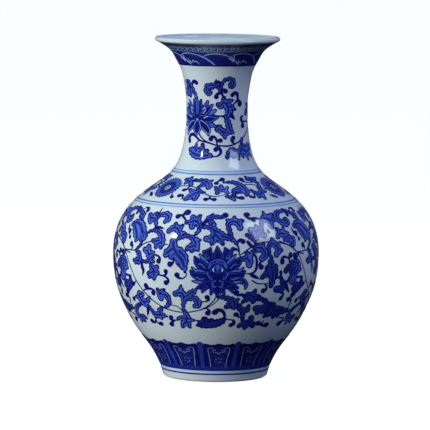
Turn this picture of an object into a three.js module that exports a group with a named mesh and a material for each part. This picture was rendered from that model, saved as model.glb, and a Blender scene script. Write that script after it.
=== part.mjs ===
// A porcelain bottle vase with a trumpet mouth, in millimetres, +Z up.
// The origin is on the axis, in the plane that the foot ring stands on.
// The clay is turned in five sections that are luted together face to face, then coated with glaze outside,
// inside and under the base. Only the standing edge of the foot ring stays bare.
import * as THREE from "three";

// ---- Driving dimensions ----
const HEIGHT = 360;
const BELLY_RADIUS = 109;
const MOUTH_RADIUS = 66;
const NECK_RADIUS = 32.2;
const FOOT_RADIUS = 55.4;

const WALL = 4.6; // clay at the neck, shoulder and belly
const LOWER_WALL = 6.2; // clay near the foot, which carries the weight
const GLAZE = 0.4;
const GLAZE_GAP = 0.02; // the coats are modelled just clear of the clay they are fused to
const LIP_ROUND = 2.4; // radius of the rolled edge of the mouth
const SIDES = 36; // facets round the axis

// Heights where two sections meet.
const FOOT_JOINT = 15;
const BELLY_JOINT = 122;
const NECK_JOINT = 214;
const MOUTH_JOINT = 316;

// The foot ring and the base inside it.
const FOOT_TOP = 11; // the foot's straight taper ends here, where the body starts to swell
const FOOT_TOP_RADIUS = 58;
const FOOT_INNER_RADIUS = 47.4;
const FOOT_WELL_DEPTH = 8;
const FLOOR_TOP = FOOT_JOINT; // the clay floor's upper face
const FLOOR_RADIUS = 44; // where the flat floor starts to curve up into the wall
const STANDING_HEIGHT = 1.6; // how far up the foot the bare clay shows
const FOOT_BEVEL = 1.6;

// A low swelling of slip stays on the inner wall where two sections were luted.
const RIDGE = 1.1;
const RIDGE_HALF_WIDTH = 5;

// ---- The glazed outer surface above the foot, as heights and radii ----
const LIP_BASE = HEIGHT - 2 * LIP_ROUND;
const OUTLINE = [
  [FOOT_TOP, FOOT_TOP_RADIUS],
  [18, 61.2],
  [33, 70],
  [50, 82.8],
  [66, 92.2],
  [91, 103.2],
  [111, 107.6],
  [132, BELLY_RADIUS],
  [151, 106.8],
  [168, 100.6],
  [185, 88.4],
  [200, 70.4],
  [NECK_JOINT, 51.4],
  [228, 41.2],
  [246, 35.5],
  [263, 33],
  [281, NECK_RADIUS],
  [300, 33],
  [MOUTH_JOINT, 35.6],
  [330, 40.2],
  [342, 47.2],
  [350, 54.6],
  [LIP_BASE, MOUTH_RADIUS - LIP_ROUND],
];

// A natural cubic spline through [x, y] knots, as a function of x.
function spline(knots) {
  const n = knots.length;
  const x = knots.map((k) => k[0]);
  const y = knots.map((k) => k[1]);
  const carry = new Array(n).fill(0);
  const bend = new Array(n).fill(0);
  for (let i = 1; i < n - 1; i++) {
    const share = (x[i] - x[i - 1]) / (x[i + 1] - x[i - 1]);
    const pivot = share * bend[i - 1] + 2;
    const turn = (y[i + 1] - y[i]) / (x[i + 1] - x[i]) - (y[i] - y[i - 1]) / (x[i] - x[i - 1]);
    bend[i] = (share - 1) / pivot;
    carry[i] = ((6 * turn) / (x[i + 1] - x[i - 1]) - share * carry[i - 1]) / pivot;
  }
  const curve = new Array(n).fill(0);
  for (let i = n - 2; i > 0; i--) curve[i] = bend[i] * curve[i + 1] + carry[i];
  return (at) => {
    let i = 0;
    while (i < n - 2 && at > x[i + 1]) i++;
    const h = x[i + 1] - x[i];
    const a = (x[i + 1] - at) / h;
    const b = (at - x[i]) / h;
    return a * y[i] + b * y[i + 1] + (((a ** 3 - a) * curve[i] + (b ** 3 - b) * curve[i + 1]) * h * h) / 6;
  };
}

const swelling = spline(OUTLINE);
const footTaper = (FOOT_TOP_RADIUS - FOOT_RADIUS) / (FOOT_TOP - STANDING_HEIGHT);
const outer = (height) =>
  height < FOOT_TOP ? FOOT_RADIUS + footTaper * (height - STANDING_HEIGHT) : swelling(height);

// The point a distance inside the glazed surface, square to it.
function inset(height, distance) {
  const step = 0.01;
  const lean = (outer(height + step) - outer(height - step)) / (2 * step);
  const along = 1 / Math.hypot(1, lean);
  return new THREE.Vector2(outer(height) - distance * along, height + distance * lean * along);
}

// The point at an exact height on the surface that lies that distance inside.
function atHeight(height, distance) {
  let foot = height;
  for (let pass = 0; pass < 20; pass++) foot += height - inset(foot, distance).y;
  return new THREE.Vector2(inset(foot, distance).x, height);
}

const clayThickness = (height) =>
  THREE.MathUtils.lerp(LOWER_WALL, WALL, THREE.MathUtils.smoothstep(height, FOOT_JOINT, BELLY_JOINT));

// How far the slip left at the nearest joint stands in from the wall.
function ridgeAt(height) {
  const joints = [BELLY_JOINT, NECK_JOINT, MOUTH_JOINT];
  const away = Math.min(...joints.map((joint) => Math.abs(height - joint)));
  return away < RIDGE_HALF_WIDTH ? RIDGE * 0.5 * (1 + Math.cos((Math.PI * away) / RIDGE_HALF_WIDTH)) : 0;
}

// ---- Heights where each section's walls have a ring of points ----
const beforeJoint = (joint) => [joint - RIDGE_HALF_WIDTH, joint];
const afterJoint = (joint) => [joint, joint + RIDGE_HALF_WIDTH];
const OUTER_LEVELS = {
  foot: [STANDING_HEIGHT, FOOT_TOP, FOOT_JOINT],
  lower: [FOOT_JOINT, 32, 50, 70, 94, BELLY_JOINT],
  upper: [BELLY_JOINT, 145, 163, 178, 190, 202, NECK_JOINT],
  neck: [NECK_JOINT, 223, 235, 252, 280, MOUTH_JOINT - 12, MOUTH_JOINT],
  mouth: [MOUTH_JOINT, 327, 338, 348, LIP_BASE],
};
const INNER_LEVELS = {
  lower: [32, 52, 76, 98, ...beforeJoint(BELLY_JOINT)],
  upper: [...afterJoint(BELLY_JOINT), 150, 170, 187, ...beforeJoint(NECK_JOINT)],
  neck: [...afterJoint(NECK_JOINT), 235, 258, 290, ...beforeJoint(MOUTH_JOINT)],
  mouth: [...afterJoint(MOUTH_JOINT), 334, 345],
};

const outerWall = (levels, gap = GLAZE_GAP) => levels.map((height) => atHeight(height, GLAZE + gap));
const glazedWall = (levels) => levels.map((height) => new THREE.Vector2(outer(height), height));
const innerWall = (levels, coat = 0) =>
  levels.map((height) => atHeight(height, GLAZE + clayThickness(height) + ridgeAt(height) + coat));

// The rolled lip runs from under the mouth's edge over the top to the inside.
const LIP_START = -50;
const LIP_END = 130;
const LIP_STEP = 30;

function lipPoint(radius, degrees) {
  const turn = THREE.MathUtils.degToRad(degrees);
  return new THREE.Vector2(
    MOUTH_RADIUS - LIP_ROUND + radius * Math.cos(turn),
    HEIGHT - LIP_ROUND + radius * Math.sin(turn),
  );
}

function lip(radius) {
  const points = [];
  for (let degrees = LIP_START; degrees <= LIP_END; degrees += LIP_STEP) points.push(lipPoint(radius, degrees));
  return points;
}

// The clay floor, from the axis out to where the wall starts. A coat lifts it.
const floorSkin = (coat) => [
  new THREE.Vector2(0, FLOOR_TOP + coat),
  new THREE.Vector2(FLOOR_RADIUS, FLOOR_TOP + coat),
  new THREE.Vector2(FLOOR_RADIUS + 6, FLOOR_TOP + 2.6 + coat),
];

// The underside of the base, from the standing edge in to the axis.
const footWell = (coat) => [
  new THREE.Vector2(FOOT_INNER_RADIUS - coat, STANDING_HEIGHT),
  new THREE.Vector2(FOOT_INNER_RADIUS - 1.2 - coat, FOOT_WELL_DEPTH - 2 - coat),
  new THREE.Vector2(FOOT_INNER_RADIUS - 3.2 - coat, FOOT_WELL_DEPTH - coat),
  new THREE.Vector2(0, FOOT_WELL_DEPTH - coat),
];

// ---- Solids ----
const clay = new THREE.MeshStandardMaterial({ color: 0xe9e6dc, roughness: 0.75, metalness: 0 });
const glaze = new THREE.MeshStandardMaterial({ color: 0xdfe8ea, roughness: 0.08, metalness: 0 });

// Turns an outline of [radius, height] points round the axis, closing it where it doesn't end there.
function turned(name, outline, material) {
  const onAxis = outline.at(0).x === 0 && outline.at(-1).x === 0;
  const closed = onAxis ? outline : [...outline, outline[0]];
  const mesh = new THREE.Mesh(new THREE.LatheGeometry(closed, SIDES).rotateX(Math.PI / 2), material);
  mesh.name = name;
  return mesh;
}

function footRing() {
  const standingEdge = [
    new THREE.Vector2(FOOT_INNER_RADIUS + FOOT_BEVEL, 0),
    new THREE.Vector2(FOOT_RADIUS - GLAZE - FOOT_BEVEL, 0),
  ];
  const top = new THREE.Vector2(0, FLOOR_TOP);
  return turned("foot_ring", [...footWell(0).reverse(), ...standingEdge, ...outerWall(OUTER_LEVELS.foot), top], clay);
}

function lowerBody() {
  const seat = floorSkin(0).slice(1);
  const inside = [...seat, ...innerWall(INNER_LEVELS.lower)];
  return turned("lower_body", [...outerWall(OUTER_LEVELS.lower), ...inside.reverse()], clay);
}

// A section whose two ends are flat joint faces.
const section = (name, part) =>
  turned(name, [...outerWall(OUTER_LEVELS[part]), ...innerWall(INNER_LEVELS[part]).reverse()], clay);

function mouth() {
  const outside = [...outerWall(OUTER_LEVELS.mouth), ...lip(LIP_ROUND - GLAZE - GLAZE_GAP)];
  return turned("mouth", [...outside, ...innerWall(INNER_LEVELS.mouth).reverse()], clay);
}

// Each coat of glaze is a thin shell between the clay and the surface that is seen.
function outerGlaze() {
  const levels = [...new Set(Object.values(OUTER_LEVELS).flat())];
  const skin = [...glazedWall(levels), ...lip(LIP_ROUND)];
  const under = [...outerWall(levels, 0), ...lip(LIP_ROUND - GLAZE)];
  return turned("outer_glaze", [...skin, ...under.reverse()], glaze);
}

function innerGlaze() {
  const levels = [...new Set(Object.values(INNER_LEVELS).flat())];
  const besideLip = LIP_END + 5;
  const under = [...floorSkin(GLAZE_GAP), ...innerWall(levels, GLAZE_GAP), lipPoint(LIP_ROUND - GLAZE, besideLip)];
  const skin = [...floorSkin(GLAZE), ...innerWall(levels, GLAZE), lipPoint(LIP_ROUND, besideLip)];
  return turned("inner_glaze", [...under, ...skin.reverse()], glaze);
}

const baseGlaze = () => turned("base_glaze", [...footWell(GLAZE).reverse(), ...footWell(GLAZE_GAP)], glaze);

const vase = new THREE.Group();
vase.add(footRing(), lowerBody(), section("upper_body", "upper"), section("neck", "neck"), mouth());
vase.add(outerGlaze(), innerGlaze(), baseGlaze());

export default vase;
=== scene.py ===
"""A blue-and-white porcelain vase: glazed walls turned from the frame's own outline, and painting on them.

The painting is made of thin films that follow the glaze. Motifs are drawn flat, in millimetres round their
own centre, as brush strokes, and are then laid on the wall at an angle round the axis and a height. Angle 0
faces the camera and angles grow towards the right.
"""

import math
import random

import bpy
import numpy as np
from mathutils import Matrix, Vector
from mathutils.geometry import convex_hull_2d, delaunay_2d_cdt


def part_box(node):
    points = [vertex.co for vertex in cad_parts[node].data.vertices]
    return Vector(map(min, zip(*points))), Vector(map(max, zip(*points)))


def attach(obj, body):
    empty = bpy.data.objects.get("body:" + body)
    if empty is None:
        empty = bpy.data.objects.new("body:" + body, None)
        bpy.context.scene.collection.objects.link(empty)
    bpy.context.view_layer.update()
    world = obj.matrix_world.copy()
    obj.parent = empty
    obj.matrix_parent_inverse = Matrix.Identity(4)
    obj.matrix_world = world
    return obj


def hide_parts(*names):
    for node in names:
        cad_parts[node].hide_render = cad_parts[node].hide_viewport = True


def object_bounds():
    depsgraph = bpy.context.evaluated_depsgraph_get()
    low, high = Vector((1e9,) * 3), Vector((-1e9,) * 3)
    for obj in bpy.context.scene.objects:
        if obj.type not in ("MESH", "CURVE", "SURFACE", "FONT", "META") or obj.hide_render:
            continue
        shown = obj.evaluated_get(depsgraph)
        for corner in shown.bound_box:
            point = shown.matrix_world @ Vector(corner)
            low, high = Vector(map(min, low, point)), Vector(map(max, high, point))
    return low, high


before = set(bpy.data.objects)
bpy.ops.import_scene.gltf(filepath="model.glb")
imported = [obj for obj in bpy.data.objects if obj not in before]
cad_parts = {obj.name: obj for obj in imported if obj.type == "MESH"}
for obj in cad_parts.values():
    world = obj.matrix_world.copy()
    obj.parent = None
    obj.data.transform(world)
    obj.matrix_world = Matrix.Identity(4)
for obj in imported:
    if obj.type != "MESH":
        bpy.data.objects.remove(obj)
cad_low, cad_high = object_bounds()

# ---- Sizes, in metres unless a name says otherwise ----
MM = 0.001
LIP_ROUND = 2.4 * MM  # radius of the rolled edge of the mouth
GLAZE = 0.4 * MM
GLAZE_GAP = 0.02 * MM  # the coats stay just clear of the clay
FOOT_BEVEL = 1.6 * MM
WELL_CORNER = 3 * MM  # radius of the corner inside the foot ring
FLOOR_BEND = [(0.86, 0), (0.93, 0.5 * MM)]  # share of the wall's radius, and rise, where the floor bends up
SHARP_DEGREES = 35  # a turned edge sharper than this isn't smoothed
SIDES = 192  # facets round a turned wall
RING_STEP = 1.9 * MM  # spacing of a turned wall's rings
CURVE_SAMPLES = 4000  # points by which a curve's length is measured
WALL_SAMPLES = 6000  # the same for the whole outside
ON_AXIS = 0.01 * MM  # a smaller radius than this is a point on the axis
SLOPE_STEP = 0.1 * MM  # height over which a wall's slope is measured
FILM_LIFT = 0.18 * MM  # height of the painted films above the glaze
COAT_LIFT = 0.02 * MM  # and how much further out each later coat lies
GRID_MM = 2.2  # spacing of the points inside a film, so that it follows the curve

# ---- Materials: scales of their noise, in features a metre, and colours ----
CLOUD_SCALE = 45  # the clouding of a glaze's colour
RIPPLE_SCALE = 70  # the unevenness of its gloss
SPECKLE_SCALE = 900  # the colour of the clay
TURNING_SCALE = 2500  # the marks on the clay
GLAZE_ROUGHNESS = 0.09
GLAZE_IOR = 1.5
CLAY_ROUGHNESS = 0.8
CLAY_COLOURS = ((0.62, 0.54, 0.43), (0.76, 0.7, 0.6))
WHITE = ((0.70, 0.775, 0.79), (0.76, 0.82, 0.825))
COBALT = {  # each tone of the painting, where it is densest and where it is thinnest
    "ink": ((0.004, 0.005, 0.13), (0.009, 0.011, 0.2)),
    "deep": ((0.007, 0.010, 0.15), (0.014, 0.02, 0.24)),
    "dusk": ((0.012, 0.03, 0.2), (0.025, 0.055, 0.3)),
    "line": ((0.004, 0.018, 0.28), (0.01, 0.036, 0.4)),
    "wash": ((0.015, 0.032, 0.28), (0.038, 0.073, 0.44)),
    "light": ((0.048, 0.105, 0.52), (0.105, 0.205, 0.74)),
    "azure": ((0.08, 0.2, 0.56), (0.13, 0.28, 0.66)),
    "pale": ((0.2, 0.33, 0.68), (0.3, 0.45, 0.76)),
    "faint": ((0.33, 0.46, 0.62), (0.42, 0.54, 0.68)),
    "mist": ((0.56, 0.68, 0.77), (0.62, 0.73, 0.8)),
    "slate": ((0.022, 0.032, 0.07), (0.06, 0.08, 0.13)),
}

_, foot_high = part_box("foot_ring")
_, well_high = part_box("base_glaze")
floor_low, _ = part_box("inner_glaze")
TOP = cad_high.z


# ---- The outline of the walls, read from the frame ----
def natural_spline(x, y):
    """The natural cubic spline through the points, as a function of x."""
    x = np.asarray(x, float)
    y = np.asarray(y, float)
    gap = np.diff(x)
    slope = np.diff(y) / gap
    matrix = np.eye(len(x))
    target = np.zeros(len(x))
    for i in range(1, len(x) - 1):
        matrix[i, i - 1 : i + 2] = gap[i - 1], 2 * (gap[i - 1] + gap[i]), gap[i]
        target[i] = 6 * (slope[i] - slope[i - 1])
    curve = np.linalg.solve(matrix, target)

    def at(value):
        value = np.clip(value, x[0], x[-1])
        i = np.clip(np.searchsorted(x, value) - 1, 0, len(x) - 2)
        after = (value - x[i]) / gap[i]
        before = 1 - after
        bend = (before**3 - before) * curve[i] + (after**3 - after) * curve[i + 1]
        return before * y[i] + after * y[i + 1] + bend * gap[i] ** 2 / 6

    return at


def skin_rings(node, best):
    """Height and radius of each ring of a turned node: the widest ring at a height, or the narrowest."""
    rings = {}
    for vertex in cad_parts[node].data.vertices:
        height = round(vertex.co.z, 5)
        radius = math.hypot(vertex.co.x, vertex.co.y)
        rings[height] = best(rings.get(height, radius), radius)
    return sorted(rings.items())


LIP_BASE = max(z for z, r in skin_rings("outer_glaze", max) if z < TOP - 1.9 * LIP_ROUND)
outer_rings = [ring for ring in skin_rings("outer_glaze", max) if ring[0] <= LIP_BASE]
standing_height, foot_radius = outer_rings[0]
foot_top, foot_top_radius = outer_rings[1]
swelling = natural_spline(*zip(*outer_rings[1:]))
inner_rings = [ring for ring in skin_rings("inner_glaze", min) if ring[1] > foot_radius / 2]
hollow = natural_spline(*zip(*inner_rings[1:]))
LIP_CENTRE = np.array([outer_rings[-1][1], LIP_BASE + LIP_ROUND])


def outer_radius(height):
    """Radius of the glazed outside at a height: a straight foot, then the swelling body and neck."""
    height = np.asarray(height, float)
    taper = (foot_top_radius - foot_radius) / (foot_top - standing_height)
    return np.where(height < foot_top, foot_radius + taper * (height - standing_height), swelling(height))


def evenly(curve, low, high, step=RING_STEP):
    """Points [radius, height] along a curve of radius over height, about one step apart along the wall."""
    fine = np.linspace(low, high, CURVE_SAMPLES)
    radii = curve(fine)
    along = np.concatenate([[0], np.cumsum(np.hypot(np.diff(fine), np.diff(radii)))])
    count = max(2, int(along[-1] / step) + 1)
    heights = np.interp(np.linspace(0, along[-1], count), along, fine)
    return np.column_stack([curve(heights), heights])


def lip_arc(start, end, step=10):
    """Points of the rolled lip between two angles, in degrees from the outward direction."""
    turns = np.radians(np.arange(start, end + 1, step))
    return LIP_CENTRE + LIP_ROUND * np.column_stack([np.cos(turns), np.sin(turns)])


def offset(points, distance):
    """Points moved to the left of the direction in which they run."""
    run = np.gradient(points, axis=0)
    run /= np.linalg.norm(run, axis=1)[:, None]
    return points + distance * np.column_stack([-run[:, 1], run[:, 0]])


# The wall of the outside by its length from the foot, for laying the painting on it.
WALL_HEIGHTS = np.linspace(standing_height, LIP_BASE, WALL_SAMPLES)
WALL_RADII = outer_radius(WALL_HEIGHTS)
WALL_LENGTHS = np.concatenate([[0], np.cumsum(np.hypot(np.diff(WALL_HEIGHTS), np.diff(WALL_RADII)))])


def length_at(height):
    return np.interp(height, WALL_HEIGHTS, WALL_LENGTHS)


def laid_on_wall(flat, angle, height, lift):
    """Points and normals where flat points, in metres round a place on the wall, lie on it."""
    flat = np.asarray(flat, float)
    heights = np.interp(length_at(height) + flat[:, 1], WALL_LENGTHS, WALL_HEIGHTS)
    radii = outer_radius(heights)
    widening = outer_radius(heights + SLOPE_STEP) - outer_radius(heights - SLOPE_STEP)
    lean = widening / (2 * SLOPE_STEP)
    turn = math.radians(angle) + flat[:, 0] / radii
    normals = np.column_stack([np.sin(turn), -np.cos(turn), -lean])
    normals /= np.linalg.norm(normals, axis=1)[:, None]
    points = np.column_stack([radii * np.sin(turn), -radii * np.cos(turn), heights])
    return points + lift * normals, normals


def flat_from(places, angle, height):
    """The inverse: flat points in metres for places given as [angle in degrees, height in mm]."""
    places = np.asarray(places, float)
    radii = outer_radius(places[:, 1] * MM)
    across = np.radians(places[:, 0] - angle) * radii
    return np.column_stack([across, length_at(places[:, 1] * MM) - length_at(height)])


# ---- Materials ----
def principled(name):
    material = bpy.data.materials.new(name)
    material.use_nodes = True
    return material, material.node_tree, material.node_tree.nodes["Principled BSDF"]


def noise(tree, scale, detail=3.0, roughness=0.5):
    """Noise in the row frame, so that it runs on from piece to piece. Scale is in features a metre."""
    place = tree.nodes.new("ShaderNodeTexCoord")
    texture = tree.nodes.new("ShaderNodeTexNoise")
    texture.inputs["Scale"].default_value = scale
    texture.inputs["Detail"].default_value = detail
    texture.inputs["Roughness"].default_value = roughness
    tree.links.new(place.outputs["Object"], texture.inputs["Vector"])
    return texture.outputs["Fac"]


def ramp(tree, value, stops):
    """A colour ramp over a value. A stop is a position and a colour."""
    node = tree.nodes.new("ShaderNodeValToRGB")
    elements = node.color_ramp.elements
    while len(elements) < len(stops):
        elements.new(0.5)
    for element, (position, colour) in zip(elements, stops):
        element.position = position
        element.color = (*colour, 1)
    tree.links.new(value, node.inputs["Fac"])
    return node.outputs["Color"]


def bumps(tree, shader, texture, strength, distance):
    """Lets a texture roughen the shader's surface."""
    bump = tree.nodes.new("ShaderNodeBump")
    bump.inputs["Strength"].default_value = strength
    bump.inputs["Distance"].default_value = distance
    tree.links.new(texture, bump.inputs["Height"])
    tree.links.new(bump.outputs["Normal"], shader.inputs["Normal"])


def glaze_material(name, dense, thin):
    """Clear glaze over white clay or cobalt: a clouded colour under a smooth gloss with a faint ripple."""
    material, tree, shader = principled(name)
    clouds = noise(tree, CLOUD_SCALE, 5.0, 0.6)
    tree.links.new(ramp(tree, clouds, [(0.3, dense), (0.7, thin)]), shader.inputs["Base Color"])
    shader.inputs["Roughness"].default_value = GLAZE_ROUGHNESS
    shader.inputs["IOR"].default_value = GLAZE_IOR
    bumps(tree, shader, noise(tree, RIPPLE_SCALE, 2.0), 0.06, 0.4 * MM)
    return material


def clay_material():
    """Bare fired clay: warm, matt and slightly speckled, with fine turning marks."""
    material, tree, shader = principled("bare_clay")
    speckles = noise(tree, SPECKLE_SCALE, 6.0, 0.7)
    stops = list(zip((0.35, 0.6), CLAY_COLOURS))
    tree.links.new(ramp(tree, speckles, stops), shader.inputs["Base Color"])
    shader.inputs["Roughness"].default_value = CLAY_ROUGHNESS
    bumps(tree, shader, noise(tree, TURNING_SCALE, 4.0), 0.35, 0.15 * MM)
    return material


WHITE_GLAZE = glaze_material("white_glaze", *WHITE)
BARE_CLAY = clay_material()
TONES = {tone: glaze_material("cobalt_" + tone, *colours) for tone, colours in COBALT.items()}


# ---- Turned walls ----
def finish_piece(piece, slot, *nodes):
    """Puts a piece on the one body, in place of the nodes that it stands for. Its slot is not used."""
    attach(piece, "root")
    if nodes:
        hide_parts(*nodes)
    return piece


def new_object(name, points, faces, material):
    mesh = bpy.data.meshes.new(name)
    mesh.from_pydata([tuple(p) for p in points], [], faces)
    mesh.materials.append(material)
    mesh.polygons.foreach_set("use_smooth", [True] * len(mesh.polygons))
    mesh.update()
    piece = bpy.data.objects.new(name, mesh)
    bpy.context.scene.collection.objects.link(piece)
    return piece


def turned(name, outline, material):
    """A solid turned from a closed outline of [radius, height] points that runs anticlockwise."""
    outline = np.asarray(outline, float)
    rows = []
    points = []
    for radius, height in outline:
        if radius < ON_AXIS:
            rows.append([len(points)] * SIDES)
            points.append((0, 0, height))
            continue
        rows.append(list(range(len(points), len(points) + SIDES)))
        for i in range(SIDES):
            turn = 2 * math.pi * i / SIDES
            points.append((radius * math.sin(turn), -radius * math.cos(turn), height))
    faces = []
    closed_by_axis = outline[0, 0] < ON_AXIS and outline[-1, 0] < ON_AXIS
    pairs = zip(rows, rows[1:]) if closed_by_axis else zip(rows, rows[1:] + rows[:1])
    for low, high in pairs:
        for i in range(SIDES):
            j = (i + 1) % SIDES
            corners = [low[i], low[j], high[j], high[i]]
            face = [c for n, c in enumerate(corners) if c not in corners[:n]]
            faces.append(face)
    piece = new_object(name, points, faces, material)
    piece.data.set_sharp_from_angle(angle=math.radians(SHARP_DEGREES))
    return piece


FOOT_SIDE = evenly(outer_radius, standing_height, foot_top)
BODY_SIDE = evenly(swelling, foot_top, LIP_BASE)
OUTSIDE = np.concatenate([FOOT_SIDE[:-1], BODY_SIDE[:-1], lip_arc(-90, 130)])
INSIDE_WALL = evenly(hollow, inner_rings[1][0], inner_rings[-1][0])
FLOOR = floor_low.z + GLAZE - GLAZE_GAP
FLOOR_CURVE = np.array([[INSIDE_WALL[0, 0] * share, FLOOR + rise] for share, rise in FLOOR_BEND])
INSIDE = np.concatenate([FLOOR_CURVE, INSIDE_WALL])
CLAY_OUTSIDE = offset(OUTSIDE, GLAZE + GLAZE_GAP)
CLAY_INSIDE = offset(INSIDE, -GLAZE - GLAZE_GAP)


def between(wall, low, high):
    """The stretch of a wall between two heights, cut flat at both."""
    kept = wall[(wall[:, 1] > low) & (wall[:, 1] < high)]
    order = np.argsort(wall[:, 1])
    ends = [[np.interp(z, wall[order, 1], wall[order, 0]), z] for z in (low, high)]
    return np.concatenate([ends[:1], kept, ends[1:]])


def well_outline(coat):
    """The underside of the base from the axis to the standing edge, under a coat of glaze or none."""
    edge = well_high.x - coat
    roof = well_high.z - coat
    turns = np.radians(np.arange(90, -1, -15))
    centre = np.array([edge - WELL_CORNER, roof - WELL_CORNER])
    bend = centre + WELL_CORNER * np.column_stack([np.cos(turns), np.sin(turns)])
    return np.concatenate([[[0, roof]], bend, [[edge, standing_height]]])


def make_coats():
    """The three coats of glaze, each a thin closed shell."""
    outside = np.concatenate([OUTSIDE, offset(OUTSIDE, GLAZE)[::-1]])
    finish_piece(turned("glazed_outside", outside, WHITE_GLAZE), "painted_glaze", "outer_glaze")
    under = np.concatenate([[[0, FLOOR - GLAZE]], offset(INSIDE, -GLAZE)])
    inside = np.concatenate([under, INSIDE[::-1], [[0, FLOOR]]])
    finish_piece(turned("glazed_inside", inside, WHITE_GLAZE), "clear_glaze", "inner_glaze")
    well = np.concatenate([well_outline(GLAZE), well_outline(0)[::-1]])
    finish_piece(turned("glazed_foot_well", well, WHITE_GLAZE), "clear_glaze", "base_glaze")


def make_clay():
    """The five turned sections of clay under the glaze, cut flat where they were luted together."""
    standing = [[well_high.x + FOOT_BEVEL, 0], [foot_radius - GLAZE - FOOT_BEVEL, 0]]
    wall = between(CLAY_OUTSIDE, standing_height, foot_high.z)
    outline = np.concatenate([well_outline(-GLAZE_GAP), standing, wall, [[0, foot_high.z]]])
    finish_piece(turned("foot_ring_clay", outline, BARE_CLAY), "biscuit", "foot_ring")
    for node in ("lower_body", "upper_body", "neck"):
        low, high = (corner.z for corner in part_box(node))
        inner = between(CLAY_INSIDE, low, high)
        outline = np.concatenate([between(CLAY_OUTSIDE, low, high), inner[::-1]])
        finish_piece(turned(node + "_clay", outline, BARE_CLAY), "porcelain", node)
    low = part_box("mouth")[0].z
    outside = CLAY_OUTSIDE[CLAY_OUTSIDE[:, 1] > low]
    inside = CLAY_INSIDE[CLAY_INSIDE[:, 1] > low]
    ends = [between(wall, low, TOP)[:1] for wall in (CLAY_OUTSIDE, CLAY_INSIDE)]
    outline = np.concatenate([ends[0], outside, inside[::-1], ends[1]])
    finish_piece(turned("mouth_clay", outline, BARE_CLAY), "porcelain", "mouth")


make_coats()
make_clay()

# ---- Brush strokes, in millimetres on the unrolled wall ----
# A stroke is a list of (across, up, half width). A shape is a list of convex polygons. A motif is a list of
# layers, each a tone and a shape, in the order in which they are painted. The tone None wipes back to the
# white glaze.
STROKE_STEP = 1.3  # longest straight piece of a curved stroke
MOST_STEPS = 12  # most pieces between two rows of a stroke
THINNEST = 0.05  # smallest half width
ROUND_END = 0.3  # an end with a greater half width than this is round
LARGE_END = 1.2  # and with a greater one than this it has more sides
OUTLINE = 1.15  # how far the dark line round a leaf reaches outside its body
OUTLINE_INSIDE = 0.5  # and how far it reaches inside
VEIN = 0.6  # half width of a vein
HEART_SHARE = 0.45  # width of the darker wash down a lobe, as a share of the lobe
RUFFLE = 0.5  # depth of the waves along the edge of a leaf
RUFFLE_PITCH = 4.6
INK_SPREAD = 1.15  # how much wider than drawn a dark stroke dries
EDGE = 0.85  # width of the light edge of a petal
BAND_STEP = 1.2  # spacing of the rows of a plain band


def smooth(rows):
    """Points along a smooth curve through the rows."""
    rows = np.asarray(rows, float)
    padded = np.concatenate([[2 * rows[0] - rows[1]], rows, [2 * rows[-1] - rows[-2]]])
    points = []
    for before, here, there, after in zip(padded, padded[1:], padded[2:], padded[3:]):
        steps = int(np.clip(math.hypot(*(there - here)[:2]) / STROKE_STEP, 1, MOST_STEPS)) + 1
        for t in np.arange(steps) / steps:
            bend = (2 * before - 5 * here + 4 * there - after) * t**2
            twist = (3 * here - before - 3 * there + after) * t**3
            points.append((2 * here + (there - before) * t + bend + twist) / 2)
    points.append(rows[-1])
    return np.array(points)


def disc(x, y, radius, sides=12):
    turns = 2 * np.pi * np.arange(sides) / sides
    return np.column_stack([x + radius * np.cos(turns), y + radius * np.sin(turns)])


def stroke(rows, grow=0.0, ruffle=0.0):
    """The shape of one stroke with round ends, made wider all round by grow, with waves along its edges."""
    path = smooth(rows)
    run = np.gradient(path[:, :2], axis=0)
    reach = np.linalg.norm(run, axis=1)
    run /= np.maximum(reach, 1e-9)[:, None]
    half = np.maximum(path[:, 2] + grow, THINNEST)
    phase = 2 * np.pi * np.cumsum(reach) / RUFFLE_PITCH
    wave = ruffle * np.minimum(half / 2, 1)
    across = np.column_stack([-run[:, 1], run[:, 0]])
    left = path[:, :2] + (half + wave * np.sin(phase))[:, None] * across
    right = path[:, :2] - (half + wave * np.cos(phase))[:, None] * across
    shape = []
    for i in range(len(path) - 1):
        corners = np.array([right[i], right[i + 1], left[i + 1], left[i]])
        shape.append(corners[convex_hull_2d([Vector(c) for c in corners])])
    for end in (0, -1):
        if half[end] > ROUND_END:
            shape.append(disc(*path[end, :2], half[end], 12 if half[end] > LARGE_END else 8))
    return shape


def strokes(many, grow=0.0, ruffle=0.0):
    return [polygon for rows in many for polygon in stroke(rows, grow, ruffle)]


def line(points, width):
    """A stroke of even width."""
    return stroke([(x, y, width / 2) for x, y in points])


def leaf(lobes, fill="light", heart="wash"):
    """A leaf: dark outline, light body, a darker wash down the middle of each lobe and a dark vein."""
    middles = [[(x, y, half * HEART_SHARE) for x, y, half in rows[:-1]] for rows in lobes if len(rows) > 2]
    veins = [[(x, y, VEIN) for x, y, half in rows if half > 1.1] for rows in lobes]
    return [
        ("ink", strokes(lobes, OUTLINE, RUFFLE)),
        (fill, strokes(lobes, -OUTLINE_INSIDE, RUFFLE)),
        (heart, strokes(middles)),
        ("ink", strokes([vein for vein in veins if len(vein) > 1])),
    ]


def sided(rows, side):
    """Rows or points on the right of a flower's axis as drawn for side 1, or on its left for side -1."""
    return [(side * row[0], *row[1:]) for row in rows]


def petal(rows, fill="ink", edge="wash"):
    """A petal inside a dark outline. A light edge runs round its body."""
    return [("ink", stroke(rows, OUTLINE)), (edge, stroke(rows)), (fill, stroke(rows, -EDGE))]


def pair(rows, fill="ink", edge="wash"):
    """A petal and its twin on the other side of the flower."""
    return petal(sided(rows, -1), fill, edge) + petal(rows, fill, edge)


# ---- Flowers ----
def folds(lines, tone, side):
    """Thin lines on one side of a flower, each given as its points and width."""
    return [(tone, line(sided(points, side), width)) for points, width in lines]


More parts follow.
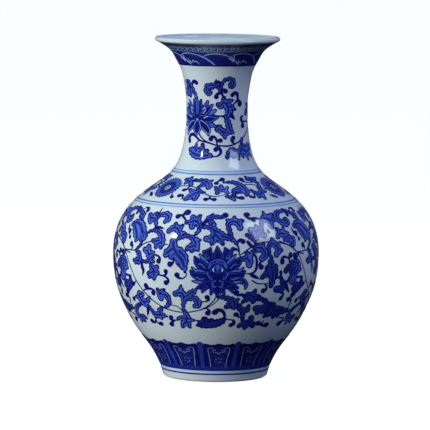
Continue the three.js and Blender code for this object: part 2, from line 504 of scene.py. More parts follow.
def lotus():
    """An open lotus seen from the side, from the back petals forward: mostly dark, with light edges."""
    layers = [("ink", [disc(0, -2, 15, 24)])]
    layers += pair([(8.6, 9, 4), (9.8, 15.4, 4.6), (9.2, 19.6, 3.9), (7.4, 23.6, .5)])
    layers += pair([(11.6, 14, 3), (14.2, 20, 1)])
    layers += petal([(.2, 10, 3.6), (0, 16, 3.8), (-.2, 20, 3), (-.5, 25, .4)])
    layers += pair([(8, 4.4, 1.4), (13.6, 10.6, 1.8), (18.4, 17, .3)], "azure", "azure")
    layers += pair([(10.5, 1.2, 3.8), (17, 6.3, 4.6), (21.4, 10.2, 3.3), (23.8, 14.2, .5)])
    layers += pair([(11.6, -2.6, .9), (17.6, -.4, 1.2), (23, .4, 1), (26.8, 3.4, .2)], "azure", "azure")
    layers += pair([(10.9, -7, 4), (18, -5.5, 3.9), (24.6, -4, 2.6), (28.2, -.2, .5)])
    layers += petal([(19, -9.4, 3), (25, -10, 2.8), (29.6, -14, 1.8), (29, -18.6, .4)], "deep", "light")
    layers += pair([(12, -12.6, 1), (19, -11.8, 1.2), (26, -10.8, .2)], "azure", "azure")
    layers += pair([(9.5, -14, 3.8), (15.8, -16.4, 3.4), (20.8, -17.6, .6)])
    layers += pair([(12.6, -17, 2.4), (15.8, -22.4, .4)])
    layers += pair([(4.4, -16, 3), (6.8, -24.4, .5)])
    layers += petal([(.2, -6, 6.2), (0, -13.8, 6.8), (-.2, -19.3, 5), (-.6, -25.2, .8)])
    petal_folds = [
        ([(2, -10), (5, -12), (4, -17), (1.8, -16)], 1.1),
        ([(13, 3), (17.5, 7.2), (20, 7)], 1),
        ([(9, 14), (12, 13.4), (12.6, 16.4)], 1),
        ([(11, -1), (8.8, -6.6), (5.4, -8.6)], 0.9),
        ([(14, -8), (18, -8.6), (22, -6.6)], 1),
    ]
    layers += folds(petal_folds, "light", -1) + folds(petal_folds, "light", 1)
    return layers + lotus_heart()


def lotus_heart():
    """The cup of the lotus: an arch over a dark disc, with a light seed pod between two white crescents."""
    layers = petal([(-9, 4, 1), (-6, 8.6, 1.7), (0, 10.4, 2), (6, 8.6, 1.7), (9, 4, 1)], "wash", "light")
    for tone, rise, radius, sides in (("ink", 1.6, 7.2, 20), ("wash", 2.6, 5, 16), ("light", 4, 2.4, 16)):
        layers.append((tone, [disc(0, rise, radius, sides)]))
    for side in (-1, 1):
        layers += folds([([(1.4, 6), (3.2, 9.4), (5.6, 8), (4.4, 5.4)], 1.1)], "ink", side)
        layers.append((None, stroke(sided([(4.6, 3.2, .5), (5, 1.2, .8), (4, -.8, .3)], side))))
        layers += folds([([(1.4, 4), (2.4, 1.6), (1.4, -1)], 1)], "ink", side)
    return layers + [("ink", stroke([(-7, -3, .8), (0, -4.6, 2), (7, -3, .8)]))]


def pointed_lotus():
    """The narrower lotus of the neck: upright petals, light and dark, over three dark hanging ones."""
    layers = [("ink", [disc(0, 0, 9, 20)])]
    layers += pair([(2.4, 4, 1.8), (3.2, 10, 2), (4.8, 17.6, .6)], "ink", "wash")
    layers += petal([(.1, 4, 1.4), (0, 12, 1.8), (-.1, 18.8, .4)], "wash", "light")
    layers += pair([(12.6, 2.2, 1), (16.8, 5, 2), (20.4, 7.4, .8)], "light", "light")
    layers += pair([(13, -5.6, 1), (17.2, -8, 2), (21, -9.2, .5)], "light", "light")
    layers += pair([(5, 3.6, 1.2), (8.4, 9, 2.2), (12.4, 16.4, .8)], "wash", "light")
    layers += pair([(6, 3, 2.2), (11.8, 7.8, 3), (17.4, 13, .4)], "ink", "light")
    layers += pair([(4.6, -.6, 2.6), (13.2, -2, 3.6), (18.4, -1.4, 2), (23, 0, .4)], "ink", "light")
    layers += pair([(5, -6, 2.6), (9.6, -10, 3.6), (13, -14, 2.8), (14.2, -18.8, .3)], "ink", "pale")
    layers += petal([(.1, -4.4, 2.8), (0, -10.6, 4.8), (0, -15, 3.8), (-.3, -19, .6)], "ink", "pale")
    petal_folds = [([(7, 4), (9.8, 7.4), (9, 10), (7, 8.4)], 1), ([(8, -1), (12.4, 1)], 0.9)]
    layers += folds(petal_folds, "faint", -1) + folds(petal_folds, "faint", 1)
    for tone, rise, radius, sides in (("ink", -1.6, 3.8, 12), ("light", -3, 2, 12), ("faint", -3, .9, 8)):
        layers.append((tone, [disc(0, rise, radius, sides)]))
    return layers


# The chrysanthemum's places along a petal are shares of its radius.
FLOWER_RADIUS = 15.6
FLOWER_PETALS = 26
FLOWER_PETAL = ((0.5, 0.6), (0.75, 1.4), (0.92, 1.2), (1, 0.3))  # place, and half width in mm
FLOWER_OUTLINE = 0.6
FLOWER_EDGE = 0.4
FLOWER_GROUND = 0.9  # the dark disc under the petals
FLOWER_MIDDLE = 0.62  # and the one over their inner ends
STAMEN_START = 0.32
STAMEN_END = 0.58
STAMEN_WIDTH = 0.9


def chrysanthemum():
    """A round flower: fine petals with light tips round a dark ring, and a light eye."""
    layers = [("ink", [disc(0, 0, FLOWER_RADIUS * FLOWER_GROUND, 24)])]
    turns = [2 * math.pi * i / FLOWER_PETALS for i in range(FLOWER_PETALS)]
    for turn in turns:
        reach = [(share * FLOWER_RADIUS, half) for share, half in FLOWER_PETAL]
        rows = [(r * math.cos(turn), r * math.sin(turn), half) for r, half in reach]
        layers += [("ink", stroke(rows, FLOWER_OUTLINE)), ("light", stroke(rows, -FLOWER_EDGE))]
    layers.append(("ink", [disc(0, 0, FLOWER_RADIUS * FLOWER_MIDDLE, 24)]))
    for turn in turns[::2]:
        edge = np.array([math.cos(turn), math.sin(turn)]) * FLOWER_RADIUS
        layers.append(("wash", line([edge * STAMEN_START, edge * STAMEN_END], STAMEN_WIDTH)))
    return layers + [(None, [disc(0, 0, 3.8)]), ("ink", [disc(0, 0, 2.6)]), (None, [disc(0, 0, 1.3, 8)])]


# ---- Painting on the wall ----
SAME_CORNER = 1e-4  # corners nearer together than this, in mm, become one


def divided(polygon):
    """The polygon with corners added along long sides, so that it can bend with the wall."""
    sides = []
    for here, there in zip(polygon, np.roll(polygon, -1, axis=0)):
        pieces = int(np.linalg.norm(there - here) / GRID_MM) + 1
        sides.append(here + (there - here) * (np.arange(pieces) / pieces)[:, None])
    return np.concatenate(sides)


def flattened(layers):
    """Cuts a motif's layers into triangles that don't overlap. Gives points, triangles and their tones."""
    polygons = [(tone, divided(polygon)) for tone, shape in layers for polygon in shape]
    corners = np.concatenate([polygon for _, polygon in polygons])
    starts = np.cumsum([0] + [len(polygon) for _, polygon in polygons])
    faces = [list(range(first, last)) for first, last in zip(starts, starts[1:])]
    low, high = corners.min(axis=0), corners.max(axis=0)
    for row, y in enumerate(np.arange(low[1], high[1], GRID_MM)):
        across = np.arange(low[0] + (row % 2) * GRID_MM / 2, high[0], GRID_MM)
        corners = np.concatenate([corners, np.column_stack([across, np.full(len(across), y)])])
    corners = [Vector(corner) for corner in corners.tolist()]
    points, _, triangles, _, _, _ = delaunay_2d_cdt(corners, [], faces, 0, SAME_CORNER)
    points, triangles = np.array([tuple(p) for p in points]), np.array(triangles)
    middles = points[triangles].mean(axis=1)
    tones = np.full(len(triangles), None)
    for tone, polygon in polygons:
        boxed = (middles > polygon.min(axis=0)) & (middles < polygon.max(axis=0))
        near = np.flatnonzero(boxed.all(axis=1))
        edges = np.roll(polygon, -1, axis=0) - polygon
        gaps = middles[near, None] - polygon
        inside = (edges[:, 0] * gaps[..., 1] - edges[:, 1] * gaps[..., 0] >= 0).all(axis=1)
        tones[near[inside]] = tone
    painted = tones.astype(bool)
    return points, triangles[painted], tones[painted]


class Painting:
    """One painted band. Its films are gathered by tone, and each tone becomes one piece."""

    def __init__(self, name, turns):
        self.name = name
        self.turns = turns  # where its repeats stand, in degrees
        self.films = {}
        self.depth = 0  # how many coats of paint lie under the next one

    def lay(self, layers, angle, height):
        """Lays a motif round a place on the wall, once for each repeat of the band."""
        points, triangles, tones = flattened(layers)
        lift = FILM_LIFT + COAT_LIFT * self.depth
        for tone in sorted(set(tones)):
            used, chosen = np.unique(triangles[tones == tone], return_inverse=True)
            chosen = chosen.reshape(-1, 3)
            for turn in self.turns:
                places, normals = laid_on_wall(points[used] * MM, angle + turn, height * MM, lift)
                self.films.setdefault(tone, []).append((places, normals, chosen))

    def ring(self, low, high, tone):
        """A plain band right round the wall, between two heights in mm."""
        rows = max(2, int((high - low) / BAND_STEP) + 2)
        lift = FILM_LIFT + COAT_LIFT * self.depth
        turns = 2 * math.pi * np.arange(SIDES) / SIDES
        places, normals = [], []
        for height in np.linspace(low, high, rows) * MM:
            around = np.column_stack([turns * outer_radius(height), np.zeros(SIDES)])
            points, outward = laid_on_wall(around, 0, height, lift)
            places.append(points)
            normals.append(outward)
        faces = []
        for row in range(rows - 1):
            for i in range(SIDES):
                here, after = row * SIDES + i, row * SIDES + (i + 1) % SIDES
                faces += [(here, after, after + SIDES), (here, after + SIDES, here + SIDES)]
        film = (np.concatenate(places), np.concatenate(normals), np.array(faces))
        self.films.setdefault(tone, []).append(film)

    def flat(self, rows, origin):
        """Rows of (angle, height, half width) as rows of (across, up, half width) round an origin."""
        rows = np.asarray(rows, float)
        flat = flat_from(rows[:, :2], origin[0], origin[1] * MM) / MM
        return [tuple(row) for row in np.column_stack([flat, rows[:, 2]])]

    def ink(self, rows, tone="ink"):
        """One stroke, given by angles and heights."""
        spread = [(x, y, half * INK_SPREAD) for x, y, half in self.flat(rows, rows[0])]
        self.lay([(tone, stroke(spread))], *rows[0][:2])

    def leaf(self, lobes, fill="light", heart="wash"):
        """One leaf, given by angles and heights."""
        origin = lobes[0][0]
        self.lay(leaf([self.flat(rows, origin) for rows in lobes], fill, heart), *origin[:2])

    def finish(self):
        """Makes the pieces. Their normals are the wall's, so the edges of a film don't show."""
        for tone, films in self.films.items():
            points = np.concatenate([film[0] for film in films])
            normals = np.concatenate([film[1] for film in films])
            starts = np.cumsum([0] + [len(film[0]) for film in films])
            faces = np.concatenate([film[2] + start for film, start in zip(films, starts)]).tolist()
            piece = new_object(f"{self.name}_{tone}", points, faces, TONES[tone])
            piece.data.normals_split_custom_set_from_vertices([tuple(n) for n in normals])
            finish_piece(piece, "painted_glaze")


def paint_scroll(name, turns, lines, leaves, flower, place):
    """A band of scrolling stems with leaves and one flower, at each of its turns."""
    band = Painting(name, turns)
    for rows in lines:
        band.ink(rows)
    band.depth = 1
    for lobes in leaves:
        band.leaf(lobes)
    band.depth = 2
    band.lay(flower, *place)
    band.finish()


# ---- The belly: a lotus among scrolling leaves, three times round ----
# Strokes here are lists of (angle, height, half width), in degrees round from the front and millimetres. A
# leaf is a list of its lobes, each a stroke.
BELLY_PITCH = 112
LOTUS_PLACE = (1.0, 124)
BELLY_STEMS = [
    [(-60.5, 140, .6), (-50, 141, .6), (-46, 146, .6), (-42, 150, .6), (-36, 152, .6), (-28, 149.5, .6)],
    [(1, 101, .6), (-1, 93, .6), (-6, 85, .6), (-12, 81, .6), (-20, 79, .6), (-28, 80.5, .6),
     (-35, 85, .6), (-42, 93, .6), (-50, 108, .6), (-54, 120, .6), (-58, 132, .6), (-61, 140, .6),
     (-66, 147, .6), (-74, 153, .5)],
    [(3, 101, .5), (1.5, 94, .5), (-3, 87, .5), (-9, 82, .5)],
    [(-33, 82.5, .6), (-28, 86, .5), (-23, 85, .5), (-20, 80, .6)],
    [(-16, 73, .6), (-12, 70.5, .6), (-9, 70, .6)],
    [(13.4, 140.7, .5), (20, 148.5, .7), (25, 152.3, .6), (34, 152.5, .6), (42, 149.7, .6),
     (47, 145.5, .6), (51.5, 139.5, .6), (57, 137.5, .6)],
    [(20.4, 113.5, .7), (24, 110.2, .6), (31, 109.6, .5)],
    [(20, 143, 1), (22.3, 138, 1.1), (22.8, 129, 1.4), (21.6, 123, 1.2), (19, 121, .8), (16.5, 121.5, .3)],
    [(5.2, 72, .8), (9, 72, .7), (11.4, 70.5, 1.4), (11.4, 67.5, 2), (9.8, 65.5, 2.2)],
    [(11.5, 152.5, .9), (12.6, 147, .8), (12.8, 140.5, .6)],
    [(-9.3, 169, .8), (-10, 163, .7), (-12.5, 160.3, .7), (-16, 160, .7)],
    [(57, 113, .8), (50, 113.5, 1.4), (45.5, 112.3, 1.4), (42, 109.5, 1.6), (38.5, 114.5, 1.4),
     (35, 115.5, .6)],
    [(43, 109.5, 1.2), (43.5, 104.5, 2), (45.3, 100.5, 1.2), (46.6, 98, .3)],
    [(-17, 124, .6), (-16.2, 119.5, .6), (-18, 115.8, .7), (-20.5, 115.8, 1.2), (-21.7, 118.8, 2.6)],
]
BELLY_CURLS = [
    [(-59, 180.8, .8), (-61, 179.5, 1.4), (-60.6, 177.8, 2.2)],
    [(-56.6, 181, .6), (-54, 183.6, .9), (-51.6, 183.2, 1.6), (-50.8, 181, 2.2)],
    [(-62, 165, .8), (-61.5, 161.5, 1.2), (-59.4, 159, 2.6)],
    [(-59.4, 157, .6), (-58.3, 155, .9), (-57.6, 153, 1.9)],
    [(-54.2, 141, .6), (-53.3, 144, 1.1), (-54.8, 146.5, 2.7)],
    [(-60, 139.5, .6), (-61.5, 138, 1), (-63.3, 137, 2.7)],
    [(-51, 108.5, .6), (-52, 106, 1), (-53.6, 105, 2.6)],
    [(-62.5, 101.5, .6), (-61, 100.5, .9), (-58.6, 103, 2.6)],
    [(-60.5, 101, .9), (-59.4, 97.5, 1.6), (-62, 95, 3)],
    [(-45.6, 99.2, .5), (-43.6, 100.6, .9), (-41.2, 102.5, 1.2), (-42.8, 104.6, 2.7)],
    [(-43, 101, .9), (-39.5, 102, 1.2), (-37, 100, 1.4), (-38, 97.6, 2.5)],
    [(-37, 137.6, .6), (-34.5, 138, 1), (-32.2, 135.5, 1.3), (-33, 132, 2.5)],
    [(-34, 118.3, .8), (-31, 117.2, .8), (-28.6, 118.5, 1.2), (-28.4, 121.8, 2.3)],
    [(-30.5, 117.2, .7), (-27.8, 115, 1.1), (-27, 112, 1.4), (-28.6, 110, 2.5)],
    [(-23.6, 134.5, 1), (-24, 131.5, 1.3), (-25.9, 129.6, 2.7)],
    [(-17.6, 172.6, .8), (-20, 176.5, 1.1), (-22.5, 179.3, 1.2), (-24.8, 178, 2.6)],
    [(-21, 177.5, .9), (-21, 180.5, 1.5), (-19, 182.3, 3.3)],
    [(-9, 91.8, .6), (-6, 91.6, .7), (-4, 93.5, 1.3), (-4.8, 96.2, 2.5)],
    [(-7, 84.6, .6), (-5, 83.6, .9), (-3.8, 81.5, 1.5), (-4.6, 79, 2.7)],
    [(5.3, 72, .9), (5.5, 77, 1.3), (4, 81.5, 1.8), (1.6, 82.6, 2.1), (-.4, 80, 2.9)],
    [(-24.5, 69.8, .6), (-27.5, 69.4, .9), (-29.6, 70, 1.2), (-28.8, 72.6, 2.4)],
    [(-26.5, 69.5, .7), (-28.5, 67.5, 1.4), (-29.7, 64.6, 2.6)],
    [(-41.2, 70, .8), (-42, 67, 1), (-43.6, 64.6, 1.4), (-45.6, 66, 2.6)],
    [(-41.4, 67, .6), (-40.4, 64, 1.2), (-38, 64, 2.5)],
    [(-10, 168, 1), (-7.4, 172.5, 1.8), (-5, 176.5, 2.2), (-3.2, 180, 1.6), (-1.4, 182.4, .3)],
    [(2, 177.6, 1.5), (4, 178, 1.6), (5.9, 180.3, 3)],
    [(11.6, 150.5, .7), (12, 153.6, 1.2), (13.6, 155.6, 1.7), (15.2, 154.2, 2.4)],
    [(12.6, 143.5, .6), (11.8, 146.2, 1), (9.2, 146.8, 2.1)],
    [(28.5, 174.5, .7), (25.5, 177, 1), (22, 176.6, 1.4), (20, 177.6, 1.5), (19, 180.4, 2),
     (20.6, 180.8, 2.3)],
    [(21.8, 176.6, .8), (23.8, 174.4, 1.9)],
    [(31.2, 165, .5), (31.8, 162.8, 1.7)],
    [(18, 153.6, 1.6), (19.6, 150, 1.7), (21.5, 148, .8), (23, 147.6, .3)],
    [(26, 134, 1), (24.6, 131, 1.3), (25.5, 127.4, 2.6)],
    [(18.6, 121, .8), (20.5, 119, 1.8), (22.6, 117, 1.4), (25, 114.6, .3)],
    [(28, 109.6, .7), (29.4, 106.5, 1.1), (29.2, 103.6, 1.5), (27.6, 102.4, 2.5)],
    [(43.8, 134.5, .8), (41.5, 136.4, 1.2), (39.4, 135.6, 1.6), (39.2, 131.8, 2.9)],
    [(44.7, 130.5, 1), (44.2, 134, 1.2), (45.4, 137.6, 2.8)],
    [(52.3, 137.5, .8), (51, 135.3, 1.1), (49.3, 134.6, 2.6)],
    [(37, 115.5, .9), (38.7, 118, 1.2), (38.2, 120.6, 2)],
    [(41, 99.5, .8), (42, 96.5, 1.3), (40.5, 92.3, 2.2)],
    [(49.6, 83, .8), (50.2, 87, 1), (49.3, 90.5, 1.6), (47.2, 90.4, 2.6)],
    [(44.5, 70.6, .7), (48.3, 70, .9), (48.6, 66.6, 1.3), (46.3, 64, 2.8)],
    [(48, 67, .7), (51, 66.8, .7), (54, 67.4, .6)],
    [(16.4, 97.6, 2.1), (14.8, 99, 1.6), (13, 98.6, 1.4), (11.6, 101.2, 2.8)],
    [(14.6, 74, .8), (14, 75.5, 1.2), (12.5, 77.4, 2.6)],
    [(32, 69, .7), (31.4, 66, 1), (32.6, 64, 1.6), (35.4, 64.2, 2.9)],
    [(32.6, 64.4, .8), (30.4, 64.6, 1), (28.6, 66.8, 2.8)],
    [(-45, 129.5, 1.2), (-44.7, 124.5, 1.9), (-43.8, 120.5, 1.7), (-44.9, 114.6, .2)],
    [(-39.4, 172, 1.3), (-39.4, 178, 1.4), (-39, 185.5, .2)],
    [(-38.4, 165.8, 1.1), (-35, 166, 1.6), (-31.6, 165.2, .2)],
    [(-45.2, 80.8, 1.4), (-46.4, 76, 1.7), (-48.5, 71, .2)],
    [(57.6, 91.6, .6), (56.6, 89.6, 1), (55.4, 88, 2.5)],
]
BELLY_LEAVES = [
    # Upper left
    [[(-59, 166.5, 2), (-55, 168.5, 3.4), (-50.5, 166, 5), (-47.3, 160, 5), (-45, 154.5, 3)],
     [(-56.5, 166, 3), (-53, 160, 4.6), (-51, 154, 4.2), (-51.3, 151.4, 2)],
     [(-48, 157, 3.6), (-46.8, 152.4, 2.4)], [(-46, 160.5, 2.6), (-43.6, 156.5, 1.6)],
     [(-47, 154, 1.4), (-46.3, 148.6, 1.1), (-48, 144.6, .8), (-50, 141.3, .7)]],
    [[(-62, 183, 1.2), (-58, 180.6, 1.4), (-55, 178, 2.4), (-52.6, 176, 2.8), (-51.8, 173.6, 1.8)],
     [(-55.4, 178, 2), (-54.8, 174.5, 1.2)]],
    [[(-46.6, 177.8, 1.8), (-44.8, 174.8, 3.2), (-43.4, 171, 2.4)], [(-44, 176, 2.6), (-41.6, 179.5, 1.4)],
     [(-44.5, 174, 3), (-41.5, 174.5, 3), (-39.3, 171.5, 1.8), (-38, 167.5, 1)]],
    [[(-38.6, 176, 1.4), (-37, 178.4, 2), (-34, 179.3, 3), (-31.4, 177.6, 2.9), (-31, 174.4, 2.6),
      (-32.4, 172.4, 2)]],
    [[(-43.4, 159, .5), (-40.4, 162.2, 1), (-36.5, 162.6, 1.6), (-33.6, 160, 2.6), (-32, 155.5, 3.2),
      (-31.8, 150, 3.2)], [(-32.4, 151.5, 2.8), (-34.6, 148.6, 2.8), (-35.4, 146.6, 1.8)],
     [(-33.5, 153.5, 2.4), (-36.6, 152, 2.4), (-38, 152.6, 1.4)], [(-31.6, 149.5, 2.2), (-32, 146.2, 1.4)],
     [(-32.5, 156.5, 2), (-31, 155.5, 1)]],
    [[(-18.3, 172.6, 1.4), (-15.6, 173.2, 2.6), (-12.4, 174.3, 3.2), (-10.3, 171, 2.4), (-9.9, 166, 1.5),
      (-11.4, 161.8, 1)], [(-13.8, 174.6, 2.6), (-14.8, 178.3, 2)],
     [(-11.8, 175, 2.8), (-10.4, 179.3, 1.4)], [(-14, 172.4, 2.6), (-14.3, 168.7, 2.6)]],
    [[(-28.4, 163.3, 2.2), (-26.2, 166.4, 2.6), (-23.5, 166.4, 3.2), (-21.5, 163, 2.6), (-20.7, 159, 1.5),
      (-22.6, 154.6, .8)], [(-25, 167, 2.6), (-24.9, 170.8, 1.4)],
     [(-22.4, 166, 2.6), (-20.4, 169.2, 1.3)], [(-21.5, 162.4, 2), (-17.8, 161.8, .6)]],
    [[(-20.8, 156.6, 1.1), (-17, 159.2, 1.5), (-13.4, 157.4, 2.2), (-11.5, 153, 3.4), (-11, 148, 3.1)],
     [(-11, 156, 1.8), (-9, 155.4, .6)], [(-12, 150, 2.8), (-14.8, 148, 2.8), (-16, 146.4, 1.7)],
     [(-11, 147.4, 2.4), (-9.9, 145.6, 1)], [(-12, 148, 2.4), (-13.4, 144.6, 1.6)]],
    [[(-24.5, 153, 3.4), (-24, 147, 4.3), (-21.8, 141, 5.4), (-18.6, 134, 4.3), (-17.3, 127.5, 2.6),
      (-17, 122.5, .5)], [(-24.5, 146, 3.4), (-27.6, 141.6, 3.4), (-28.6, 139, 2.2)],
     [(-23.6, 140.5, 3.6), (-25.2, 137.6, 2.6)], [(-20.6, 132.5, 3), (-20.3, 129.5, 1.2)],
     [(-20.4, 144, 3.6), (-17.6, 139, 3.2), (-16.4, 134, 2.2)], [(-19.2, 129, 2), (-18.6, 126, .8)]],
    # Middle left
    [[(-39.4, 131.6, 1.4), (-39.8, 137, 3.2), (-41, 141.2, 3.2), (-43, 142.4, 2.2)],
     [(-40.5, 140.5, 3), (-40.1, 145.6, 2.6)], [(-39.4, 138, 3), (-37.4, 139.8, 2.4), (-36.2, 140.8, .6)],
     [(-39, 134, 2.2), (-37, 135, 1.2), (-36.2, 135.4, .5)],
     [(-46, 130.4, .9), (-42, 130.2, 1.2), (-38.6, 131.4, 1.8), (-36.2, 131, .9)]],
    [[(-49.6, 140.2, 1.3), (-47.4, 137.4, 2.8), (-46.9, 133, 3), (-47.6, 129.4, 2.7)],
     [(-47.6, 130.4, 2.6), (-50, 129.8, 2.4), (-51.4, 130, 1.4)], [(-49, 129.5, 2), (-50.2, 127.6, 1)]],
    [[(-38.8, 129.4, 1.2), (-37.5, 125, 2.6), (-36, 121, 3.2), (-36.2, 116, 2.8), (-36.4, 113, 1.3)],
     [(-36.5, 120.6, 2.8), (-38.8, 119, 2.3), (-40.3, 118, 1.4)], [(-36, 123.6, 2.6), (-34, 125.5, 2)],
     [(-36, 120.6, 2.6), (-33.8, 119.8, 2)], [(-37, 118, 2.4), (-39.6, 114.8, 1.4)]],
    [[(-66, 129.6, 2), (-63, 129.8, 2.6), (-60, 127.6, 3), (-60.6, 122, 3.4), (-63, 116, 3.4),
      (-65, 110, 3)], [(-60, 122, 2.4), (-57.6, 121, 1)], [(-62, 113, 2.4), (-62.4, 107, 2)]],
    # Lower left
    [[(-34.6, 102, 1.2), (-33.5, 97.5, 3), (-33.2, 92.8, 2.6)], [(-33, 98, 2.8), (-30.4, 102, 1.2)],
     [(-33, 98, 2.8), (-29.6, 96.6, 2.8), (-27.8, 95.6, 1.6)],
     [(-29.5, 97, 2.4), (-27.9, 91, 2.2), (-28.8, 86.6, 1.5), (-31.4, 82.6, .7)]],
    [[(-23.3, 98.6, 2.4), (-21, 100, 3), (-19, 99.4, 3.2), (-18.4, 93, 2.3), (-19.4, 86, 1),
      (-19.2, 80, .7)], [(-19.8, 101, 3), (-19.6, 108, .4)],
     [(-18, 95.5, 2.2), (-15.2, 99, 2.4), (-12.2, 102.4, 2.3), (-10.9, 104.6, .6)],
     [(-16.6, 93.4, 1.4), (-13, 95, 2.4), (-10.6, 92.4, 3), (-10.4, 88, 3.1), (-12, 86.4, 2)]],
    [[(-47, 95, 2.4), (-49.5, 94.6, 3), (-51, 91.2, 2.4), (-53.6, 90.6, .8)],
     [(-50, 92.4, 3.2), (-49, 88, 3.7), (-46, 86.6, 3.2), (-43, 89.5, 2), (-41.2, 92.8, .5)],
     [(-48.4, 86, 3), (-46, 83, 2.4)],
     [(-50, 84, 1.2), (-54, 81.6, 1.5), (-58, 77, 2.5), (-59.5, 72.4, 3), (-57.6, 69, 2.8)],
     [(-58.5, 76.6, 1.8), (-61, 77, .6)],
     [(-58, 69, 2.6), (-54.4, 68.6, 2.7), (-51.6, 69.6, 1.9), (-50.2, 68.2, .9)],
     [(-57, 66.6, 2.4), (-58, 63, .8)], [(-55, 67, 2.4), (-53.4, 64.8, 1.4)]],
    [[(-43.6, 82.2, 1.3), (-42, 77, 2.3), (-40.3, 73.8, 2.8), (-37, 74, 3.2), (-33.4, 73.8, 2),
      (-31.8, 73.2, .6)], [(-36.5, 75, 2.8), (-36, 78.5, 2.4), (-34.6, 81, 1.8)],
     [(-37, 72.5, 2.4), (-36.4, 69.8, .8)], [(-40.4, 73, 2.4), (-41, 70.6, .9)]],
    [[(-18.8, 81, 1), (-18.2, 76, 2.4), (-18.6, 70, 3.7), (-21, 65.6, 3), (-21.8, 62.8, 1.3)],
     [(-19.5, 72, 2.8), (-22.8, 72.3, 2), (-24, 71, .9)],
     [(-18.5, 69, 3.2), (-17.6, 64.6, 2), (-17, 62.4, .7)],
     [(-17.5, 73, 2.8), (-15.6, 70.8, 2.1), (-13.8, 70.8, .8)]],
    # Upper middle
    [[(-4.6, 177.6, 2), (-1, 178.8, 2), (2, 178.4, 1.6), (4.4, 178.6, 1.2)],
     [(-2.6, 176, .9), (-3.6, 173.6, 1.8), (-1.8, 172.4, 2.2), (-1, 169, 1)]],
    [[(-9, 168.3, 1), (-5, 168.8, 1.7), (-2, 167, 2.8), (-.6, 162, 3.4), (-2.8, 157.6, 3),
      (-5.4, 157, 2.6)], [(-1.5, 160, 3), (-1.3, 155.4, 2.6), (-2.4, 152, 1.2)],
     [(0, 161, 2.8), (2.5, 156, 2.6), (3.8, 152, 1.2)],
     [(3, 160, 2.4), (6, 158.4, 2.4), (9, 156.4, 1.4), (11.6, 152.6, 1)],
     [(-1, 166, 2.4), (2, 163, 2.4), (4, 161, 2)]],
    [[(9, 159, 1), (7.8, 165, 1.8), (7.3, 171, 2), (9.5, 174, 2.8), (12.5, 173.5, 3.4), (14, 170, 2.8),
      (14.2, 167.8, 2.5)], [(11, 174.5, 2.6), (11.6, 178.8, .6)], [(13, 174, 2.6), (16.2, 174.7, 1.3)],
     [(8.4, 173.6, 2.2), (6.8, 175.6, 1.1)]],
    # Upper right
    [[(38.9, 174.5, 1.1), (36.5, 173.5, 2.2), (34, 175, 3.8), (31, 176.5, 3.2), (29.9, 174, 2)],
     [(33, 177, 3.2), (32.2, 182.4, .6)], [(35, 177, 3.2), (38.2, 180, .8)],
     [(34.4, 173.4, 3), (34.8, 168.4, 2.7)]],
    [[(28.5, 174.5, .9), (27.8, 169.5, 1.7), (26.5, 165.5, 2.8), (23.5, 164, 3.8), (20.5, 165.3, 2.5)],
     [(24, 166, 2.8), (24.2, 169.8, .8)], [(24, 162, 3.3), (23, 157.6, 2.7)],
     [(26, 162.5, 2.8), (28.6, 159.6, 2.3)]],
    [[(17.8, 160.6, 1.3), (20, 158.6, 2), (21.5, 155.4, 1.1), (22.5, 152.4, .7)]],
    [[(53, 180.2, .8), (49.5, 181.6, 1.1), (45, 181.7, 1.7), (41.8, 179.4, 2.6), (40.8, 175.5, 3.2),
      (43.4, 171.3, 3), (46.6, 169.3, 2.8)],
     [(46.6, 169.6, 2.6), (48.9, 171.6, 2.3), (48.4, 173.8, 1.8), (46.6, 173.8, 1.2)],
     [(41, 176, 2.2), (38.8, 174.6, 1)]],
    [[(37.6, 158, 2.4), (39.5, 160.5, 3), (42, 160, 3.4), (45.3, 159.6, 1.9)],
     [(39.5, 162, 2.6), (37.8, 165.4, 1.2)], [(42, 162, 2.6), (43.2, 166, .7)],
     [(42.4, 158.6, 2.4), (42.6, 154.6, 1.5), (44.6, 152.4, .8)]],
    [[(41.8, 153.4, .9), (45, 154.6, 2.2), (48.4, 154.2, 2.6), (49.2, 151, 2.4), (48.2, 148, 2.2)],
     [(46.8, 153, 2), (46.2, 150, 1)]],
    [[(21.6, 147.4, 1.4), (25, 147.6, 3), (27, 145, 3.2), (28.2, 141.5, 2.8), (27.4, 138, 2.9),
      (25.9, 136.2, 2.7)], [(26, 148, 2.2), (27.4, 151, .8)], [(24.5, 145.4, 2), (22.2, 143.8, .8)]],
    [[(30.5, 147.5, 2), (31.5, 150.4, 2.4), (34, 150.5, 2.8), (36, 147.5, 3.2), (36.5, 143, 3),
      (35.3, 139.6, 2.6)], [(33.5, 151.6, 2.2), (33, 156, .8)], [(37, 145.5, 2.4), (39, 143.5, 1.2)],
     [(30.8, 147, 1.1), (30.8, 141, .8), (31.6, 136.5, .8)]],
    [[(14.9, 136.3, 1.8), (17, 137, 3.2), (18.6, 133.5, 3.2), (18.4, 130.2, 2.8)],
     [(17.5, 138.5, 3), (17.1, 143, 1.4)], [(18.8, 138, 2.8), (20.1, 144, .9)]],
]
